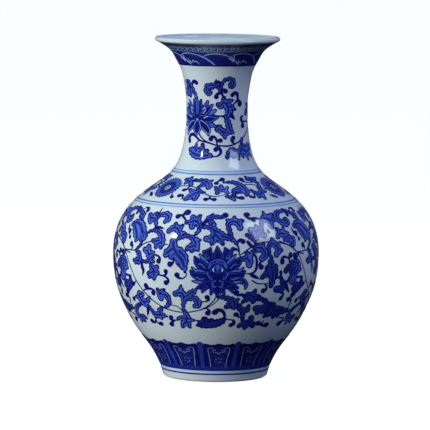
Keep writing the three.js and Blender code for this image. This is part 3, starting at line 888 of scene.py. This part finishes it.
# The leaves at the right, from the middle down, are darker: painted shade for the shaded lower right of the
# belly. The lowest one, at the bottom of the belly, is darkest, painted shade too.
BELLY_PAINTED_SHADE_LEAVES = [
    [[(31.8, 137, 1.2), (31.5, 131, 3.4), (32.2, 125, 4.3), (32.8, 118, 4.1), (32.8, 112, 3.2),
      (32.3, 107.8, 2.4)], [(30, 120.5, 3.2), (27.5, 118.6, 2.6), (26.4, 116.6, 1.8)],
     [(30.5, 127, 2.8), (28.9, 126, 1.8)], [(34.4, 127, 2.4), (35, 120, 2), (35, 115.6, 1.2)]],
    [[(42, 121.8, 2.4), (43.5, 124.5, 2.8), (45.5, 125.4, 3), (46.5, 121, 3.4), (46.5, 116, 2.3),
      (45, 112.6, 1.1)], [(45.3, 126, 2.6), (46.2, 130, 1.2)], [(46.5, 122.5, 2.8), (49, 121.6, 2.6)]],
    [[(38.8, 114.5, 1.4), (40, 109, 2.4), (40.3, 104.6, 3.2), (38.6, 102.6, 3), (36, 103.3, 2.8)],
     [(40.5, 102.5, 2.4), (40.6, 99.4, 1.2)]],
    [[(56, 112, 1.6), (56, 107, 2.8), (54.5, 102, 3.2), (52, 100.6, 2.8), (49.6, 102, 2.6)],
     [(52.8, 105, 2.8), (50.4, 106.6, 1.4)]],
    [[(1.5, 96.2, .7), (4, 96.6, 1.7), (7.5, 94.5, 2.4), (10.5, 92, 3), (11, 88, 3.2), (10.6, 85.6, 2.4)],
     [(10.8, 92, 2.4), (12.8, 94, 1)], [(8.6, 91, 2.8), (7.6, 87.4, 2.6), (6.3, 86, 1.8)]],
    [[(18.2, 99.3, 1.8), (20.5, 97.5, 3.2), (22.5, 95, 3.2), (22, 91, 1.8)],
     [(21.5, 99, 2.8), (22.7, 103.4, .8)], [(22.5, 96.5, 2.8), (25.4, 96.4, 1.4)],
     [(19.5, 95, 2.6), (17, 93, 2.2), (15.9, 91, 1.2)]],
    [[(24.8, 93, .9), (27.5, 93.2, 1.6), (30.4, 90, 2.4), (31.5, 85.5, 3), (31, 81, 2.8), (29.4, 79, 1.6)],
     [(30, 84.5, 2.8), (27, 83, 3), (24.5, 83.6, 2.8)], [(27.5, 81.5, 2.8), (26, 78.4, 1.8)]],
    [[(14.1, 87.8, 1.2), (15, 83.5, 2.8), (17.5, 81.6, 3), (19, 83.6, 2.6), (19.6, 86.4, 1.3)],
     [(16.6, 81, 2.4), (16.7, 76, 1.6), (17, 71.5, 1.2)]],
    [[(22.6, 73.4, 2.3), (22.5, 70, 3), (20, 67, 3.8), (17, 66, 3), (15.6, 64.4, 1.8)],
     [(20, 65, 3.2), (19.6, 61.3, 1)], [(22.5, 67, 3.2), (24.8, 66, 2.4), (25.1, 63.3, 1.4)]],
    [[(33.4, 87.4, 1.6), (35.6, 86, 2.8), (36.6, 81.5, 4.2), (40, 79.5, 4.8), (44.5, 78.5, 3.8),
      (48, 77.6, 2.2), (49.6, 80, .6)], [(36, 77.4, 3.4), (33, 75.6, 2.4), (31.8, 74, 1.2)],
     [(39, 76.4, 3.4), (39, 72.4, 1.6)], [(42.5, 76.8, 3.2), (42.5, 73, 1.4)]],
]
# The lowest leaf, in the darkest painted shade.
BELLY_PAINTED_SHADE_LOWEST_LEAF = [
    [(-11.4, 65.2, 1.2), (-8.5, 65, 2.4), (-4, 66, 3.4), (0, 67.5, 3.8), (4, 70.5, 2.8), (5.4, 73, 1.4)],
    [(-7.6, 68, 2.4), (-6.6, 72.3, 2.6)],
    [(-10.6, 69, 1), (-7, 69.6, 2.2), (-2, 70.6, 2.2)],
]


# At the back the first and last repeats don't meet. This sprig stands between them, drawn round its own
# middle.
BACK_ANGLE = 176
SPRIG_STEM = [
    (0, 72, .6), (2, 84, .7), (-1.5, 98, .7), (1.5, 114, .7), (-1, 130, .7), (1.5, 146, .7), (-.5, 160, .7),
    (1, 172, .6),
]
SPRIG_CURLS = [
    [(.4, 74, .6), (3, 72.4, 1.2), (5, 75, 2)],
    [(1, 90, .7), (3.6, 89, 1.1), (5.4, 85.6, 2.2)],
    [(1.2, 112, .7), (-2, 112.6, 1.2), (-5, 109.4, 2.2)],
    [(1.4, 114, .7), (4, 117, 1.1), (6, 114.6, 2.2)],
    [(-.4, 160, .7), (-3.4, 162, 1.2), (-5.6, 158.6, 2.2)],
]
SPRIG_LEAVES = [
    [[(1.6, 82, 1.2), (-1.6, 86, 2.6), (-4.6, 84, 3.2), (-6, 79.6, 2)], [(-3, 86, 2.4), (-5, 90.5, 1)],
     [(-4.4, 83, 2.4), (-3.4, 78.6, 1.2)]],
    [[(-1, 98, 1.2), (2, 103, 2.6), (5, 101.6, 3.2), (6.2, 97, 2)], [(3, 103, 2.4), (5, 107.6, 1)],
     [(4.6, 100.6, 2.4), (3.6, 96, 1.2)]],
    [[(-1, 128, 1.2), (-4, 133, 2.8), (-6.4, 138, 2.6), (-6, 143, 1)],
     [(-3.6, 132, 2.6), (-6.6, 130.4, 1.4)], [(-4.6, 135, 2.6), (-2.4, 139, 1)]],
    [[(1.4, 144, 1.2), (4, 150, 2.8), (5.6, 156, 2.6), (4.4, 161, 1)], [(4, 149, 2.6), (7, 147.6, 1.2)],
     [(5, 153, 2.6), (7.4, 157, 1)]],
    [[(1, 170, 1.2), (-1.6, 174, 2.6), (-4.6, 176.6, 2.8), (-7, 174, 1.8)],
     [(-1, 174, 2.4), (0, 179.6, 1)], [(0, 172, 2), (4, 176, 2.4), (6, 180, 1)]],
]


def paint_belly():
    turns = (-BELLY_PITCH, 0, BELLY_PITCH)
    stems = Painting("belly_stems", turns)
    for rows in BELLY_STEMS + BELLY_CURLS:
        stems.ink(rows)
    stems.depth = 2
    stems.lay(lotus(), *LOTUS_PLACE)
    stems.finish()
    leaves = Painting("belly_leaves", turns)
    leaves.depth = 1
    for lobes in BELLY_LEAVES:
        leaves.leaf(lobes)
    # These leaves get darker tones as painted shade, the lowest one darkest.
    for lobes in BELLY_PAINTED_SHADE_LEAVES:
        leaves.leaf(lobes, "wash", "dusk")
    leaves.leaf(BELLY_PAINTED_SHADE_LOWEST_LEAF, "deep", "wash")
    leaves.finish()
    sprig = Painting("belly_sprig", (BACK_ANGLE,))
    sprig.depth = 2
    for rows in [SPRIG_STEM] + SPRIG_CURLS:
        sprig.ink(rows)
    for lobes in SPRIG_LEAVES:
        sprig.leaf(lobes)
    sprig.finish()


paint_belly()


# ---- The neck: the same spray of flowers front and back ----
NECK_PITCH = 180
NECK_FLOWER = (-39.5, 277)
NECK_STEMS = [
    [(-35, 260, .8), (-29, 256, .7), (-21, 252.3, .7), (-12, 250, .8), (-1, 248, .7), (10, 247.2, .8),
     (20, 247, .9), (30, 248.3, .8), (40, 250.7, .8), (50, 253.6, .8), (58, 256.6, .8), (68, 261, .8),
     (78, 265, .7)],
    [(-54.5, 250.8, 1.9), (-57.4, 254, 2), (-54, 257.4, 1.8), (-47, 258.4, 1.6), (-41, 256.4, 1.2),
     (-31, 252.6, .9), (-20, 251, .7), (-10, 249.6, .6)],
    [(-31, 252.4, .6), (-36, 251, .6), (-37.4, 248, .8), (-36.5, 245, .9)],
    [(-6, 278.2, 1.6), (2, 278.4, .8), (10, 278.2, 1), (17, 278, 1.8)],
    [(6.5, 306, 1), (8, 302.5, 1.2), (11.5, 298.5, 1), (14, 295.6, 1)],
    [(55, 271.6, 1.2), (62, 271.8, .8), (74, 271.5, .8)],
]
NECK_CURLS = [
    [(-50, 308, 1), (-48.5, 311.5, 1.3), (-44, 314.5, 1.7), (-39, 313, 2.3)],
    [(-4.4, 311.6, .4), (-2.8, 314, 1.5), (-1.6, 317.4, .3)],
    [(-2, 314.2, 1.4), (2, 314.4, 1.6), (5.5, 312.4, 1.5), (6.4, 308, 1)],
    [(8, 303.6, 1.1), (11.5, 306.2, 1.5), (15, 304.6, 2.3)],
    [(8.5, 303, 1.2), (4, 302.6, 1.4), (0, 301.2, 1.6), (-1.5, 298.6, 2.3)],
    [(18, 276.8, 1.2), (25.5, 278.6, 1.8), (29.5, 278, 2.1), (33, 275.6, 1.1), (36, 274.5, .2)],
    [(31, 290, .7), (35, 292, .9), (40, 294.6, 1.2), (40.8, 298, 1.4), (38.5, 301.5, 1.6),
     (33, 302.6, 1.7), (28.8, 300.4, 2.1)],
    [(40, 294.5, 1.2), (44, 294, 1.6), (47, 290.8, 2.9)],
    [(57, 277.6, .7), (53, 277, 1.6), (51.6, 273.8, 1.9), (55, 271.8, 1.2)],
    [(55.2, 271.6, 1.2), (55.4, 267.6, 2.7)],
    [(.2, 248.2, .8), (0, 252, .9), (-3, 255.8, 1.3), (-8, 256.6, 1.6), (-10.6, 254.4, 2.3)],
    [(0, 251, .9), (2.5, 252.8, 1.4), (6.4, 252.8, 2.2)],
    [(32, 249.2, .7), (28.6, 251, 1.5), (28, 253.6, 2), (30.6, 255.4, 2.2)],
    [(-9, 236.4, .8), (-3, 236.2, .7), (2, 237, .9), (6, 239.5, 1.3), (6, 243, 1.5), (2, 245.4, 1.6),
     (-1.6, 243.6, 2.4)],
    [(102, 300, 1), (98, 303, 1.5), (92, 301.5, 2.2)],
    [(84, 262, .8), (88, 259, 1.4), (92, 261, 2.2)],
]
NECK_LEAVES = [
    [[(-66, 313, 1.8), (-60, 312.6, 2.8), (-54, 309, 3.2), (-49, 305, 2.4), (-44, 300.6, 1.6),
      (-41, 296, 1.1)], [(-58, 310.5, 3.2), (-64, 306, 3.6), (-66, 301, 2.6)],
     [(-56, 308, 3), (-58, 301, 2.4), (-57, 298.6, 1.2)]],
    [[(6, 304.5, 1), (3, 308.4, 1.6), (-4, 310.4, 1.7), (-12, 310.6, 1.9), (-18, 309.5, 2.1),
      (-19.5, 305, 2.1), (-16.5, 302.4, 2.2), (-12.8, 303, 1.8)], [(-8, 309, 1.6), (-14, 307.4, 1.4)]],
    [[(7, 308.5, .9), (8.5, 312.5, 1), (13, 316.4, 1.3), (20, 317.5, 1.7), (26.5, 316, 2.1),
      (29, 312.5, 2.1), (26.5, 309.2, 2.3), (22.5, 311.6, 1.4)]],
    [[(2, 290.5, 1.7), (5.6, 288.6, 2.3), (9.5, 291, 2.3), (14, 292.5, 3.2), (19, 289, 3.6),
      (22, 284.5, 3), (20.5, 280, 2.5), (16.5, 278.2, 1.5)],
     [(12.5, 292.5, 2.4), (11, 296, 1.1), (13.6, 298, .6)],
     [(18, 291.5, 2.8), (23.5, 293.6, 2.2), (28.8, 294.8, .7)],
     [(22.5, 288.5, 2.6), (29, 287.5, 2.1), (36.4, 285, .4)], [(23.5, 284, 2.4), (29, 282.4, 1)]],
    [[(17.5, 277, 2), (20, 273, 2.4), (22.5, 268, 2.8), (24.5, 263.8, 2.8), (28, 261.6, 2),
      (31.6, 260.6, .4)],
     [(1, 264.4, 2.2), (5, 264.4, 2.6), (10, 262, 2.8), (13.5, 259, 2.4), (14.6, 255.2, .5)],
     [(-1, 266.4, 1.2), (2.6, 268, 1.2), (6.4, 267, 1.1)],
     [(12, 262.4, 2.6), (18, 261, 2.4), (22, 262.6, 2.3)]],
    [[(-50, 242.4, 1.7), (-45, 240, 2.8), (-38, 238, 3.4), (-30, 237, 3.7), (-21, 237, 3.2),
      (-14, 237.4, 2.5), (-8, 236.4, .8)], [(-36, 241, 3.2), (-38, 245.4, 1.5), (-37.4, 248, .8)],
     [(-29, 241, 3.4), (-25, 245.4, 2.3), (-25.4, 248, 1.3)], [(-22, 240, 2.8), (-16.6, 242, 1.5)],
     [(-44, 242, 2.2), (-45, 244.4, .8)]],
    [[(50, 254, 1), (48, 249.5, 1.9), (47, 244, 3.2), (42, 241, 2.8), (34.6, 242, 1)],
     [(47, 244, 3.2), (55, 241, 3.8), (62, 241, 3.6), (69, 243.5, 2.4), (72, 247, 1)],
     [(38, 240.5, 2), (36.5, 233.2, .6)], [(46, 240, 2.4), (46.5, 235, .6)],
     [(56, 239, 2.8), (57, 232.4, .6)], [(65, 240, 2.4), (69.4, 235, .6)],
     [(55, 243.5, 2.2), (56.5, 247, .7)], [(63, 244, 2.2), (64.6, 248.6, .7)]],
    [[(16.6, 235.4, 1.4), (19.6, 239, 2.2), (24, 241.5, 2.8), (28.4, 243, 2.2)],
     [(24, 239, 2.8), (29.4, 236.4, 1.8)]],
    [[(70, 290, 1), (75, 287, 2.6), (80, 283, 3.2), (86, 279, 2.6), (90, 274, 1.2)],
     [(74, 284, 2.6), (68, 281, 2.4)], [(82, 285, 2.6), (88, 287.6, 1.6)],
     [(86, 280, 2.4), (92, 281.6, 1)]],
    [[(82, 306, 1.2), (86, 309, 2.6), (91, 309.6, 2.4), (97, 306.4, 1.4), (102, 300, 1)],
     [(85, 308, 2.2), (82, 312.4, 1)], [(90, 309, 2.2), (93, 314, .8)]],
]


NECK_TURNS = (0, NECK_PITCH)
NECK_LINES = NECK_STEMS + NECK_CURLS
paint_scroll("neck_scroll", NECK_TURNS, NECK_LINES, NECK_LEAVES, pointed_lotus(), NECK_FLOWER)


# ---- The shoulder: round flowers in a running scroll ----
SHOULDER_PITCH = 117
SHOULDER_FLOWER = (-51.3, 203.6)
SHOULDER_STEMS = [
    [(-38.5, 206, .7), (-31, 206.6, .6), (-25, 206.3, .6), (-18, 204.6, .6), (-12, 201.6, .6),
     (-6, 198.4, .6), (2, 198, .6), (8, 200, .6), (13, 201.4, .5)],
    [(28, 208, .6), (34, 208.2, .6), (41, 207.6, .7), (46, 205, .8), (52, 202.6, .7)],
    [(30, 211, .5), (36, 210, .5), (42, 209.8, .5)],
]
SHOULDER_CURLS = [
    [(-27, 211.5, 1), (-24.5, 213, 1.7), (-21.5, 211.8, 1.4)],
    [(-27.4, 206.4, .6), (-28, 203.8, 1.3), (-30.4, 202.8, 2.4)],
    [(-27.4, 194.8, .9), (-28.2, 197.6, 1.2), (-31.4, 197.4, 2.5)],
    [(-39.4, 198.6, .6), (-38.6, 196.4, 1.2), (-37.4, 195.6, 2.1)],
    [(-5.3, 198.4, .6), (-5.6, 196, 1), (-8.3, 195, 2.4)],
    [(-5.3, 198, .6), (-4.4, 195.6, 1), (-1.7, 195, 2.4)],
    [(-.3, 209.8, 2.3), (1.6, 211.6, 1), (4, 212.6, 1.4), (6.4, 213.4, 2.6)],
    [(15.6, 199, .8), (17, 196.6, 1.4), (20.6, 196.2, 2.6)],
    [(36, 210, .6), (31.6, 210.6, 1), (29.4, 213, 2.8)],
    [(33, 198.6, .8), (31.4, 196, 1.2), (28.8, 197.2, 2.1)],
    [(49, 197.4, .8), (51.2, 196.6, 1.7), (55, 195, 1.6)],
]
SHOULDER_LEAVES = [
    [[(-36.4, 212.6, 1.4), (-32.5, 211.5, 2.8), (-29, 210.4, 2.2), (-26, 207, 1)],
     [(-32, 212, 2.4), (-30.4, 214.6, .9)], [(-33, 211, 2.2), (-34, 208.6, 1)]],
    [[(-23, 211.8, 1.3), (-17, 212.2, 2.1), (-11, 211.4, 2.5), (-8, 209, 2.5), (-7.5, 205.3, 1.9)],
     [(-12, 210, 2.5), (-15, 207.5, 2.5), (-17, 206.6, 1.6)], [(-9, 211, 2.3), (-4.6, 212.4, .5)],
     [(-8, 207.6, 2.2), (-4.8, 207.4, .7)]],
    [[(-11.3, 201.2, 1.2), (-15, 201.6, 2.7), (-19, 199.6, 3.8), (-22.5, 196, 3.1), (-24.6, 194.2, 1.5)],
     [(-20, 201, 3.1), (-24.2, 203.4, 1.6)], [(-17, 198.5, 3.3), (-17, 194.8, 1.9)],
     [(-16, 202, 2.5), (-17.5, 204.8, 1.3)]],
    [[(-.7, 206.2, 1.1), (1.5, 203.6, 2.5), (5, 204, 2.9), (8.6, 204.4, 2.5), (10.5, 206.4, .8)],
     [(4.5, 205, 2.5), (4.5, 207.8, .9)], [(2, 203, 2.3), (.5, 200.4, 1.3)],
     [(8, 204, 2.3), (9.6, 200.4, .9)]],
    [[(8.6, 197.6, 1.5), (12.5, 196.6, 2.5), (13.8, 194.2, .9)],
     [(12, 197, 2.3), (15.2, 199.4, 1.3), (14.6, 201.4, .9)]],
    [[(8, 210.6, .6), (14, 210.8, 1.3), (19, 210.4, 2.3), (24, 208.4, 2.7), (27, 205, 2.9),
      (27.4, 201, 2.7), (25.6, 198.4, 1.2)], [(24, 205, 2.9), (20, 204.6, 2.7), (16, 203, 2.1)],
     [(20, 203, 1.9), (18.5, 201, 1.3)], [(24, 202, 2.5), (21.4, 201.4, 1.3)]],
    [[(37, 212.8, 1.5), (41, 212.6, 2.5), (46, 212.4, 2.5), (50.8, 213.6, 1)],
     [(39, 213.8, 1.5), (36.6, 215.4, .5)], [(46, 211, 2.2), (48, 208.4, 1.4), (45.4, 205, 1.1)]],
    [[(33.2, 202.8, 1.3), (36, 200, 2.7), (40, 199, 3.1), (44, 201.4, 2.7), (47.6, 201, 1.4)],
     [(40.5, 198, 2.9), (41, 194.4, .9)], [(43, 201.6, 2.5), (44, 205.4, 1.4)],
     [(38, 198.6, 2.4), (36, 196.2, 1)]],
]


SHOULDER_TURNS = (-SHOULDER_PITCH, 0, SHOULDER_PITCH)
SHOULDER_LINES = SHOULDER_STEMS + SHOULDER_CURLS
paint_scroll(
    "shoulder_scroll", SHOULDER_TURNS, SHOULDER_LINES, SHOULDER_LEAVES, chrysanthemum(), SHOULDER_FLOWER
)


# ---- Ruled lines, and the bands at the mouth and the foot ----
# Rings are (low, high, tone). Strokes and panels are again (angle, height, half width).
LINE_GROUNDS = [(217.2, 221.6, "mist"), (186.9, 190.6, "mist")]
LINES = [
    (217.6, 218.8, "azure"),
    (220.6, 221.2, "azure"),
    (189.2, 190.3, "azure"),
    (187.0, 187.6, "azure"),
    (8, 9.7, "line"),
]

WAVE_BAND_LOW = 330.8
WAVE_BAND_TOP = 345.6
FRET_BAND_TOP = 352.2
MOUTH_GROUNDS = [
    (WAVE_BAND_LOW, WAVE_BAND_TOP, "deep"),
    (WAVE_BAND_TOP, FRET_BAND_TOP, "slate"),
    (FRET_BAND_TOP, LIP_BASE / MM, "slate"),
]
MOUTH_LINES = [(WAVE_BAND_LOW, 332, "ink"), (345, 346, "ink")]
WAVE_PITCH = 36
WAVE_CREST = -38  # where the crest of the first wave stands
WAVE = [
    (-16, 342, .3), (-9, 344, .5), (0, 344.7, .5), (10, 343.6, .5), (20, 340.6, .5), (29, 336, .55),
    (33.5, 333, .5),
]
WAVE_SHADE_SHIFT = 2  # the shade of a wave stands this far round from it
WAVE_SHADE_DROP = 2.2
WAVE_SHADE_WIDTH = 0.8
FOAM = [
    [(-16, 341, .4), (-13, 338.8, .7), (-11, 336.2, .4)],
    [(-19, 339.6, .4), (-14.5, 338, .7), (-12, 335.6, .4)],
    [(-12.4, 342, .3), (-11.4, 339.6, .5), (-13.6, 337.4, .4)],
    [(-8, 335.4, .4), (-5, 334.2, .4), (-2.4, 336, .5), (0, 334.4, .35)],
    [(1, 335, .3), (3.4, 337.4, .5), (5, 335.4, .4), (8, 336.2, .4), (11, 333.4, .3)],
    [(-5.4, 338.6, .3), (-4, 336.6, .45)],
]
FRET_PITCH = 7.5
FRETS = [
    [(-.6, 346.6, .4), (.4, 349, .55), (-.4, 351.6, .45)],
    [(1.6, 351.4, .4), (3, 349.2, .55), (4.8, 351, .45)],
    [(2.2, 347, .4), (4.6, 347.4, .5)],
]

LAPPET_PITCH = 30
LAPPET_CENTRE = 3
LAPPET_MIDDLE = 28  # height round which a panel is drawn
LAPPET_LOW = 17.4
LAPPET_TOP = 42.6
FOOT_GROUNDS = [(12.6, 15.2, "line"), (15.2, LAPPET_LOW, "dusk"), (LAPPET_LOW, LAPPET_TOP, "ink")]
PANEL = [(0, LAPPET_LOW, 9.0), (0, 24, 9.6), (0, 31, 10.4), (0, 38.2, 11.2)]
PANEL_EDGE = [(7.3, LAPPET_LOW, .3), (8.1, 28, .3), (9, 37, .3), (8, 39.3, .3), (4.4, 38.8, .25)]
PANEL_SCROLL = [
    (.4, 32.6, .5), (2, 34, .3), (4.4, 34.2, .3), (5, 36.4, .3), (3.4, 37, .35), (2.6, 35.6, .3),
]
ROSETTE_HEIGHT = 24.6  # a ring of six dots in each panel
ROSETTE_ACROSS = 2.6
ROSETTE_UP = 2.8
DOT = 0.5
SPECKS = 26  # short strokes scattered over a panel, this far to each side and between these heights
SPECK_REACH = 6.6
SPECK_HEIGHTS = (18.6, 37)
SPECK_LENGTH = 1.7
SPECK_WIDTH = 0.8
BAR_CENTRE = -12
BAR = [(BAR_CENTRE, LAPPET_LOW, 2), (BAR_CENTRE, 30, 2.2), (BAR_CENTRE, 43.6, 2.6)]
BAR_OUTLINE = 0.9
SCALLOPS = [
    [(-3, 42.4, 1), (0, 43.6, 1.1), (3, 42.4, 1)],
    [(-11, 43.2, 1.4), (-7, 42.4, .9), (-3, 42.6, .8)],
    [(11, 43.2, 1.4), (7, 42.4, .9), (3, 42.6, .8)],
]


def moved(rows, round_by, down_by=0.0, share=1.0):
    """A stroke moved round and down the wall, with its widths scaled."""
    return [(a + round_by, z - down_by, half * share) for a, z, half in rows]


def paint_lines():
    band = Painting("ruled_line", (0,))
    for ring in LINE_GROUNDS:
        band.ring(*ring)
    band.depth = 1
    for ring in LINES:
        band.ring(*ring)
    band.finish()


def paint_rim():
    band = Painting("mouth_band", (0,))
    for ring in MOUTH_GROUNDS:
        band.ring(*ring)
    band.depth = 1
    for ring in MOUTH_LINES:
        band.ring(*ring)
    band.turns = range(0, 360, WAVE_PITCH)
    band.ink(moved(WAVE[2:], WAVE_CREST + WAVE_SHADE_SHIFT, WAVE_SHADE_DROP, WAVE_SHADE_WIDTH), "wash")
    band.depth = 2
    band.ink(moved(WAVE, WAVE_CREST), "faint")
    band.turns = range(0, 360, 2 * WAVE_PITCH)
    for rows in FOAM:
        band.ink(moved(rows, WAVE_CREST), "faint")
    band.turns = np.arange(0, 360, FRET_PITCH)
    for rows in FRETS:
        band.ink(rows, "pale")
    band.finish()


def lappet(band, origin):
    """One panel of the ring above the foot: specks, a scrolled top, a rosette and a thin light edge."""

    def local(rows):
        return band.flat(moved(rows, LAPPET_CENTRE), origin)

    flat = local(PANEL)
    shape = []
    for (_, y0, half0), (_, y1, half1) in zip(flat, flat[1:]):
        shape.append(np.array([(-half0, y0), (half0, y0), (half1, y1), (-half1, y1)]))
    layers = [("deep", shape)]
    for side in (-1, 1):
        for tone, rows in (("faint", PANEL_EDGE), ("pale", PANEL_SCROLL)):
            layers.append((tone, stroke(local([(side * a, z, half) for a, z, half in rows]))))
    for turn in range(90, 450, 60):
        x = ROSETTE_ACROSS * math.cos(math.radians(turn))
        y = ROSETTE_HEIGHT + ROSETTE_UP * math.sin(math.radians(turn))
        layers.append(("faint", [disc(*local([(x, y, DOT)])[0][:2], DOT, 8)]))
    chance = random.Random(3)
    for _ in range(SPECKS):
        x = chance.uniform(-SPECK_REACH, SPECK_REACH)
        y = chance.uniform(*SPECK_HEIGHTS)
        across, up, _ = local([(x, y, 0)])[0]
        slant = chance.uniform(0, math.pi)
        end = (across + SPECK_LENGTH * math.cos(slant), up + SPECK_LENGTH * math.sin(slant))
        layers.insert(1, ("wash", line([(across, up), end], SPECK_WIDTH)))
    return layers


def paint_foot():
    band = Painting("foot_lappets", (0,))
    for ring in FOOT_GROUNDS:
        band.ring(*ring)
    band.depth = 1
    band.turns = range(0, 360, LAPPET_PITCH)
    origin = (LAPPET_CENTRE, LAPPET_MIDDLE)
    band.lay(lappet(band, origin), *origin)
    bar = band.flat(BAR, BAR[0][:2])
    band.lay([("ink", stroke(bar, BAR_OUTLINE)), ("wash", stroke(bar))], *BAR[0][:2])
    for rows in SCALLOPS:
        band.ink(moved(rows, LAPPET_CENTRE))
    band.finish()


paint_lines()
paint_rim()
paint_foot()


# ---- Stage, light and camera ----
FLOOR_HALF_SIZE = 60.0
PALE = (0.98, 0.99, 1, 1)
FLOOR_GREY = (0.3, 0.3, 0.3, 1)
FLOOR_GLOW = 0.93
SKY_LOW = (0.022, 0.027, 0.045)
SKY_HIGH = (0.17, 0.23, 0.38)
SKY_MIRROR_LOSS = 0.6  # share by which the sky is dimmed in reflections

# Lights are (name, azimuth, elevation, distance, size, watts, colour), in degrees and metres.
SOFT_LIGHTS = [
    ("key", -50, 0, 1.8, 0.8, 22, (0.95, 1.0, 0.94)),
    ("side", -75, 0, 1.8, 0.8, 10.5, (0.84, 0.85, 0.97)),
    ("high_left", -100, 60, 1.8, 0.8, 7.5, (0.8, 1.0, 0.7)),
    ("high_right", 65, 50, 1.8, 0.8, 11, (0.72, 0.79, 1.12)),
]
MIRRORED_LIGHTS = [
    ("spot", -51, 25.5, 1.5, 0.11, 3.4, (1.0, 0.95, 0.86)),
    ("window", 60.5, 35, 1.4, 0.68, 9.5, (0.64, 0.76, 1.0)),
]

CAMERA_LENS = 293.2  # in millimetres on a sensor 36 mm wide
CAMERA_AIM = Vector((-1.3 * MM, 0, 170.8 * MM))
CAMERA_DISTANCE = 3.712
CAMERA_RISE = 6  # degrees above level
CAMERA_LEAN = 0.45  # degrees


def make_floor():
    """A plain pale floor that sheds no light on the vase and isn't mirrored in it."""
    mesh = bpy.data.meshes.new("floor")
    quarters = ((-1, -1), (1, -1), (1, 1), (-1, 1))
    corners = [(x * FLOOR_HALF_SIZE, y * FLOOR_HALF_SIZE, 0) for x, y in quarters]
    mesh.from_pydata(corners, [], [(0, 1, 2, 3)])
    floor = bpy.data.objects.new("floor", mesh)
    bpy.context.scene.collection.objects.link(floor)
    material, tree, shader = principled("floor_paper")
    shader.inputs["Base Color"].default_value = FLOOR_GREY
    shader.inputs["Roughness"].default_value = 1
    shader.inputs["Specular IOR Level"].default_value = 0
    shader.inputs["Emission Color"].default_value = PALE
    shader.inputs["Emission Strength"].default_value = FLOOR_GLOW
    mesh.materials.append(material)
    floor.visible_diffuse = False
    floor.visible_glossy = False


def make_world():
    """Dim bluish surroundings, darker below, behind a pale backdrop."""
    world = bpy.data.worlds.new("studio")
    bpy.context.scene.world = world
    world.use_nodes = True
    tree = world.node_tree
    nodes = tree.nodes
    nodes.clear()
    place = nodes.new("ShaderNodeTexCoord")
    split = nodes.new("ShaderNodeSeparateXYZ")
    tree.links.new(place.outputs["Generated"], split.inputs["Vector"])
    rise = nodes.new("ShaderNodeMapRange")
    rise.inputs["From Min"].default_value = -0.5
    rise.inputs["From Max"].default_value = 0.5
    tree.links.new(split.outputs["Z"], rise.inputs["Value"])
    dim = nodes.new("ShaderNodeBackground")
    sky = ramp(tree, rise.outputs["Result"], [(0.2, SKY_LOW), (0.8, SKY_HIGH)])
    tree.links.new(sky, dim.inputs["Color"])
    pale = nodes.new("ShaderNodeBackground")
    pale.inputs["Color"].default_value = PALE
    seen = nodes.new("ShaderNodeLightPath")
    fade = nodes.new("ShaderNodeMath")
    fade.operation = "MULTIPLY_ADD"
    fade.inputs[1].default_value = -SKY_MIRROR_LOSS
    fade.inputs[2].default_value = 1
    tree.links.new(seen.outputs["Is Glossy Ray"], fade.inputs[0])
    tree.links.new(fade.outputs["Value"], dim.inputs["Strength"])
    mix = nodes.new("ShaderNodeMixShader")
    tree.links.new(seen.outputs["Is Camera Ray"], mix.inputs["Fac"])
    tree.links.new(dim.outputs["Background"], mix.inputs[1])
    tree.links.new(pale.outputs["Background"], mix.inputs[2])
    out = nodes.new("ShaderNodeOutputWorld")
    tree.links.new(mix.outputs["Shader"], out.inputs["Surface"])


def direction(azimuth, elevation):
    """A unit vector towards a place round the vase, in degrees: azimuth 0 is in front, 90 on the right."""
    a = math.radians(azimuth)
    e = math.radians(elevation)
    return Vector((math.sin(a) * math.cos(e), -math.cos(a) * math.cos(e), math.sin(e)))


def make_light(name, azimuth, elevation, distance, size, power, colour):
    """A square light that faces the middle of the vase."""
    light = bpy.data.lights.new(name, "AREA")
    light.shape = "SQUARE"
    light.size = size
    light.energy = power
    light.color = colour
    lamp = bpy.data.objects.new(name, light)
    centre = (cad_low + cad_high) / 2
    towards = direction(azimuth, elevation)
    lamp.location = centre + distance * towards
    lamp.rotation_euler = towards.to_track_quat("Z", "Y").to_euler()
    bpy.context.scene.collection.objects.link(lamp)
    return lamp


def make_lights():
    """Soft lights shade the vase without showing in the glaze, which mirrors only a spot and a window."""
    for light in SOFT_LIGHTS:
        make_light(*light).visible_glossy = False
    for light in MIRRORED_LIGHTS:
        make_light(*light).visible_diffuse = False


def make_camera():
    """A long lens a little above the middle of the vase, leaning by half a degree."""
    camera = bpy.data.cameras.new("camera")
    camera.sensor_width = 36
    camera.lens = CAMERA_LENS
    seat = bpy.data.objects.new("camera", camera)
    towards = direction(0, CAMERA_RISE)
    seat.location = CAMERA_AIM + CAMERA_DISTANCE * towards
    turn = towards.to_track_quat("Z", "Y").to_matrix().to_4x4()
    seat.rotation_euler = (turn @ Matrix.Rotation(math.radians(CAMERA_LEAN), 4, "Z")).to_euler()
    bpy.context.scene.collection.objects.link(seat)
    bpy.context.scene.camera = seat


make_floor()
make_world()
make_lights()
make_camera()
bpy.context.scene.view_settings.view_transform = "Standard"
